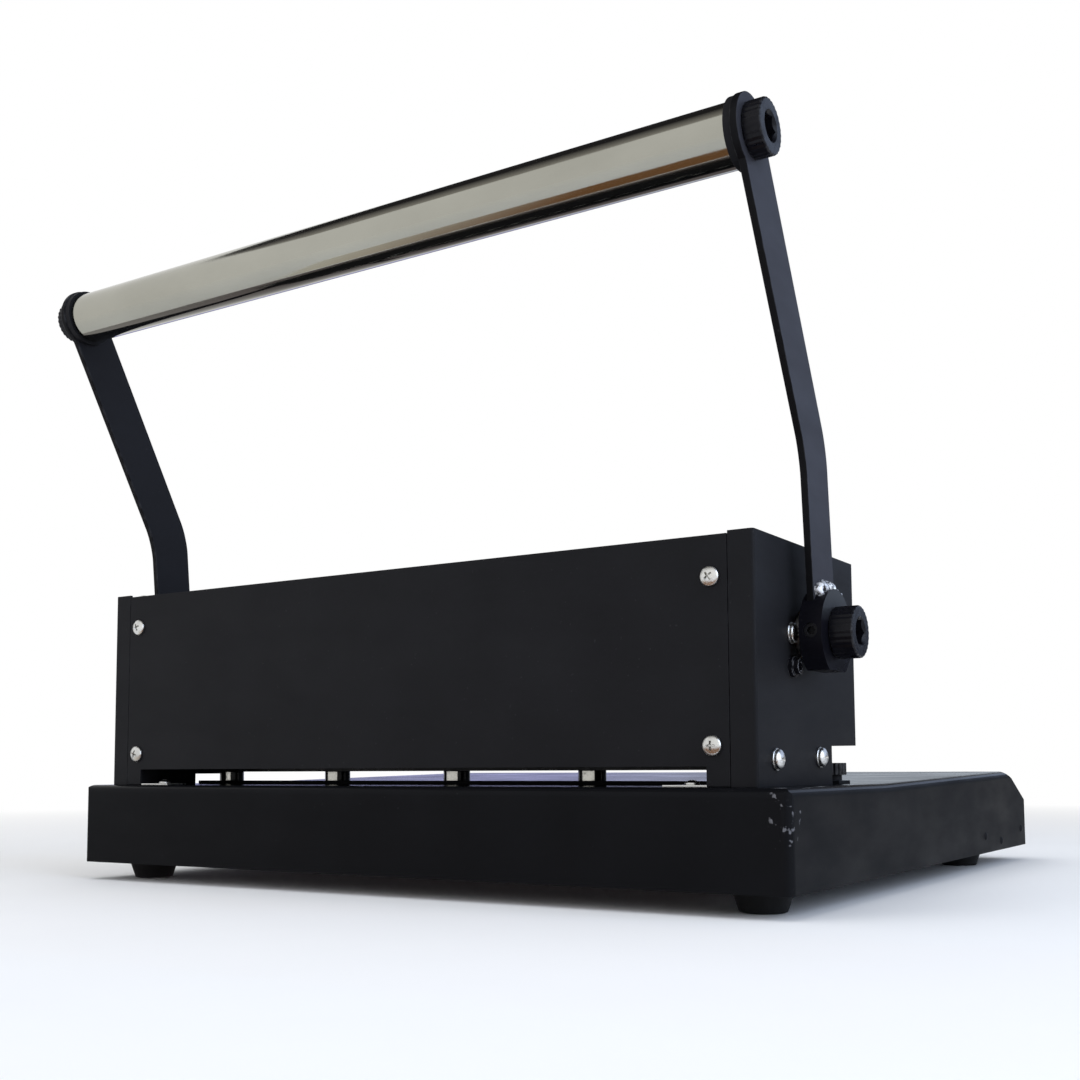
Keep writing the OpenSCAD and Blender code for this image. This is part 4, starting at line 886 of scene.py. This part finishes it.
def weld_bead(path_r):
    """Lumpy bead along an arc round X, with its middle near the top."""
    bead = 2.9 * MM
    spread = radians(96)
    lean = radians(-10)
    ripples = 42
    grain = 260
    thinnest = 0.35
    bm = bmesh.new()
    ring = bmesh.ops.create_circle(bm, cap_ends=True, segments=14, radius=bead)["verts"]
    start = Matrix.Translation((0, 0, path_r)) @ Matrix.Rotation(pi / 2, 4, "X")
    bmesh.ops.transform(bm, verts=ring, matrix=start)
    bmesh.ops.rotate(bm, verts=ring, cent=(0, 0, 0), matrix=Matrix.Rotation(spread / 2 - lean, 3, "X"))
    bmesh.ops.spin(bm, geom=everything(bm), cent=(0, 0, 0), axis=LEFTWARD, angle=-spread, steps=96)
    close_up(bm)
    for vert in bm.verts:
        turn = atan2(vert.co.y, vert.co.z)
        middle = Vector((0, sin(turn), cos(turn))) * path_r
        lump = 0.85 + 0.22 * cos(turn * ripples) + 0.5 * noise.noise(vert.co * grain)
        vert.co = middle + (vert.co - middle) * max(thinnest, lump)
    return bm


def hub_welds():
    """Bead where each arm meets its hub."""
    axis_at = HINGE["handle_swing"]
    hub_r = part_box("arm_hub_left")[1].z - axis_at.z
    arm_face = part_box("handle_arm_left")[1].x
    places = []
    for side in (1, -1):
        at = Vector((side * arm_face, axis_at.y, axis_at.z))
        places.append(Matrix.Translation(at) @ Matrix.Diagonal((side, 1, 1, 1)))
    bm = gather(weld_bead(hub_r + 1.0 * MM), places)
    bmesh.ops.recalc_face_normals(bm, faces=bm.faces)
    finish_piece("hub_welds", bm, WELD_COAT, BEAD_SMOOTH)


COVERS = ("rear_panel", "side_cover_left", "side_cover_right", "top_cover", "front_cover", "bottom_plate")
SHEETS_AND_POSTS = (
    "frame_left", "frame_right", "rear_posts", "front_posts", "chip_drawer", "drawer_pull", "edge_guide",
)
SMALL_PARTS = (
    "wall_braces", "post_shims", "die_plate", "guide_block", "guide_rods", "punch_beam",
    "punch_pins", "punch_racks", "drive_shaft", "shaft_bushes", "bar_end_plugs", "comb_tines",
    "hook_plate", "hook_racks", "comb_shaft", "comb_sectors", "comb_bushes", "drawer_rails",
    "hub_set_screws", "die_bolts", "frame_bolts", "edge_guide_clamp", "lever_grip",
)
# Node, way that the heads look, thread and length of shank
PAN_SCREWS = (
    ("rear_panel_screws", REARWARD, COVER_SCREW, 7.5 * MM),
    ("front_cover_screws", FORWARD, COVER_SCREW, 7.5 * MM),
    ("top_cover_screws", UP, COVER_SCREW, 7.5 * MM),
    ("guide_block_screws", outward, COVER_SCREW, 14 * MM),
    ("foot_screws", -UP, COVER_SCREW, 8.5 * MM),
    ("shim_screws", UP, SMALL_SCREW, 4.3 * MM),
    ("tine_screws", UP, SMALL_SCREW, 3 * MM),
)

for node in COVERS:
    eased_piece(node, SHEET_EASE)
base_tray()
for node in ("handle_arm_left", "handle_arm_right"):
    handle_side(node, BAR_EASE, ARM_COAT, 3)
for node in ("arm_hub_left", "arm_hub_right"):
    handle_side(node, HUB_EASE, HUB_COAT, 4)
eased_piece("comb_lever", BAR_EASE, segments=3)
for node in SHEETS_AND_POSTS:
    eased_piece(node, SHEET_EASE)
for node in SMALL_PARTS:
    eased_piece(node, SMALL_EASE)
throat_spacers()
throat_sill()
for node, way, thread, shank in PAN_SCREWS:
    pan_screws(node, way, thread, shank)
washered_screws("side_cover_screws", COVER_SCREW, 8.3 * MM)
ribbed_caps("hub_cap_screws", "arm_hub_left", 18 * MM)
ribbed_caps("bar_cap_screws", "handle_arm_left", 23 * MM)
bearing_screws()
handle_tube()
rubber_feet()
wall_rivets()
return_springs()
hub_welds()


def area_light(name, at, size, power, colour=WHITE, mirrored=False):
    """Soft lamp aimed at the object, which bright metal mirrors only if asked."""
    light = bpy.data.lights.new(name, "AREA")
    light.shape = "RECTANGLE"
    light.size, light.size_y = size
    light.energy = power
    light.color = colour
    obj = bpy.data.objects.new(name, light)
    bpy.context.scene.collection.objects.link(obj)
    way = LIT_SPOT - Vector(at)
    obj.matrix_world = Matrix.Translation(at) @ way.to_track_quat("-Z", "Y").to_matrix().to_4x4()
    obj.visible_glossy = mirrored


def rectangle(low, high):
    """Corners of a rectangle in turn, from two opposite ones."""
    return [low, (high[0], low[1]), high, (low[0], high[1])]


def upright(plane, low, high):
    """Corners of an upright card across the front, from low and high pairs of X and Z."""
    return [(x, plane, z) for x, z in rectangle(low, high)]


def level(height, low, high):
    """Corners of a level card from low and high pairs of X and Y."""
    return [(x, y, height) for x, y in rectangle(low, high)]


def reflected_card(name, corners, first, last, axis="X", ends=(0.0, 1.0)):
    """Card that only mirrored rays meet; its glow goes from one colour to another along an axis."""
    bm = bmesh.new()
    bm.faces.new([bm.verts.new(corner) for corner in corners])
    card = add_object(name, bm)
    finish = Finish(name, first, 1.0)
    glow = finish.add("ShaderNodeEmission")
    finish.put(glow.inputs["Color"], finish.colours(finish.span(finish.along(axis), *ends), first, last))
    finish.put(finish.tree.nodes["Material Output"].inputs["Surface"], glow.outputs[0])
    card.data.materials.append(finish.material)
    card.visible_camera = False
    card.visible_diffuse = False
    card.visible_shadow = False
    card.visible_transmission = False


def mirrored_room():
    """Front wall, ceiling and floor that show in the chrome, the paint and the table."""
    dark_side = upright(ROOM_FRONT, (ROOM_RIGHT, 0.0), (ROOM_SPLIT, 0.42))
    reflected_card("dark_side", dark_side, DARK, DARK)
    window = upright(ROOM_FRONT, (ROOM_RIGHT, 0.42), (ROOM_SPLIT, 2.2))
    reflected_card("blue_window", window, WINDOW, WINDOW)
    pale_front = upright(ROOM_FRONT, (ROOM_SPLIT, 0.0), (ROOM_LEFT, 0.6))
    reflected_card("pale_front", pale_front, PALE_BLUE, VIOLET, "X", (0.7, 1.6))
    grey_front = upright(ROOM_FRONT, (ROOM_SPLIT, 0.6), (ROOM_LEFT, 1.3))
    reflected_card("grey_front", grey_front, GREY, GREY)
    grey_floor = level(ROOM_FLOOR, (ROOM_SPLIT, ROOM_FRONT), (1.2, 0.2))
    reflected_card("grey_floor", grey_floor, FLOOR_GREY, FLOOR_PALE, "X", (0.3, 0.9))
    ceiling = level(ROOM_TOP, (-4.0, -5.0), (2.1, 1.6))
    reflected_card("dim_ceiling", ceiling, CEILING_GREY, DARK, "Y", (1.6, 0.1))
    brown_table = level(ROOM_FLOOR, (-0.7, 0.21), (0.28, 0.37))
    reflected_card("brown_table", brown_table, BROWN, CREAM, "X", (0.04, 0.28))


def sees_backdrop(tree):
    """One for the rays that show the backdrop: straight, mirrored or through glass."""
    path = tree.nodes.new("ShaderNodeLightPath")
    total = path.outputs["Is Camera Ray"]
    for name in ("Is Glossy Ray", "Is Transmission Ray"):
        add = tree.nodes.new("ShaderNodeMath")
        add.operation = "MAXIMUM"
        tree.links.new(total, add.inputs[0])
        tree.links.new(path.outputs[name], add.inputs[1])
        total = add.outputs[0]
    return total


def set_world():
    """White backdrop whose own light on the object is a weaker fill."""
    world = bpy.data.worlds.new("studio")
    bpy.context.scene.world = world
    world.use_nodes = True
    tree = world.node_tree
    backdrop = tree.nodes["Background"]
    backdrop.inputs["Color"].default_value = (*WHITE, 1.0)
    backdrop.inputs["Strength"].default_value = 1.0
    fill = tree.nodes.new("ShaderNodeBackground")
    fill.inputs["Color"].default_value = (0.95, 0.97, 1.0, 1.0)
    fill.inputs["Strength"].default_value = AMBIENT
    mix = tree.nodes.new("ShaderNodeMixShader")
    tree.links.new(sees_backdrop(tree), mix.inputs[0])
    tree.links.new(fill.outputs[0], mix.inputs[1])
    tree.links.new(backdrop.outputs[0], mix.inputs[2])
    tree.links.new(mix.outputs[0], tree.nodes["World Output"].inputs["Surface"])


def set_floor():
    """Pale floor that keeps the shadow near the object and fades into the white backdrop."""
    bm = bmesh.new()
    bmesh.ops.create_grid(bm, x_segments=1, y_segments=1, size=FLOOR_HALF)
    bmesh.ops.translate(bm, verts=bm.verts, vec=(0, 0, -FLOOR_DROP))
    floor = add_object("studio_floor", bm)
    finish = Finish("pale_floor", (0.86, 0.86, 0.86), 0.9, gloss=0.1)
    grain = finish.noise(60 * MM, 3.0)
    finish.feed("Base Color", finish.colours(grain, (0.85, 0.85, 0.85), (0.87, 0.87, 0.87)))
    edge = FLOOR_CLEAR + FLOOR_FADE
    far = finish.span(finish.near((0, 0, 0), edge), 0.0, FLOOR_FADE / edge, 1.0, 0.0)
    share = finish.math("MULTIPLY", far, sees_backdrop(finish.tree))
    glow = finish.add("ShaderNodeEmission")
    glow.inputs["Strength"].default_value = 1.0
    mix = finish.add("ShaderNodeMixShader")
    finish.put(mix.inputs[0], share)
    finish.put(mix.inputs[1], finish.shader.outputs[0])
    finish.put(mix.inputs[2], glow.outputs[0])
    finish.put(finish.tree.nodes["Material Output"].inputs["Surface"], mix.outputs[0])
    floor.data.materials.append(finish.material)


def set_camera():
    ahead = Vector((
        sin(CAMERA_YAW) * cos(CAMERA_PITCH), -cos(CAMERA_YAW) * cos(CAMERA_PITCH), sin(CAMERA_PITCH),
    ))
    side = ahead.cross(UP).normalized()
    above = side.cross(ahead)
    right = cos(CAMERA_ROLL) * side + sin(CAMERA_ROLL) * above
    top = cos(CAMERA_ROLL) * above - sin(CAMERA_ROLL) * side
    camera = bpy.data.cameras.new("photo_camera")
    camera.sensor_width = CAMERA_SENSOR
    camera.lens = CAMERA_LENS
    camera.shift_y = CAMERA_SHIFT
    camera.clip_start = CAMERA_CLIP
    obj = bpy.data.objects.new("photo_camera", camera)
    bpy.context.scene.collection.objects.link(obj)
    turn = Matrix((right, top, -ahead)).transposed().to_4x4()
    obj.matrix_world = Matrix.Translation(CAMERA_AT + Vector((0, REAR_FACE, TABLE_TOP))) @ turn
    bpy.context.scene.camera = obj


set_world()
set_floor()
mirrored_room()
area_light("side_softbox", (-1.5, 0.25, 0.75), (1.4, 1.2), 18, COOL_WHITE, mirrored=True)
area_light("top_softbox", (0.2, 0.5, 1.8), (1.6, 1.6), 14)
area_light("rear_softbox", (0.9, 1.7, 0.8), (1.2, 1.0), 10)
set_camera()
bpy.context.scene.view_settings.view_transform = "Standard"
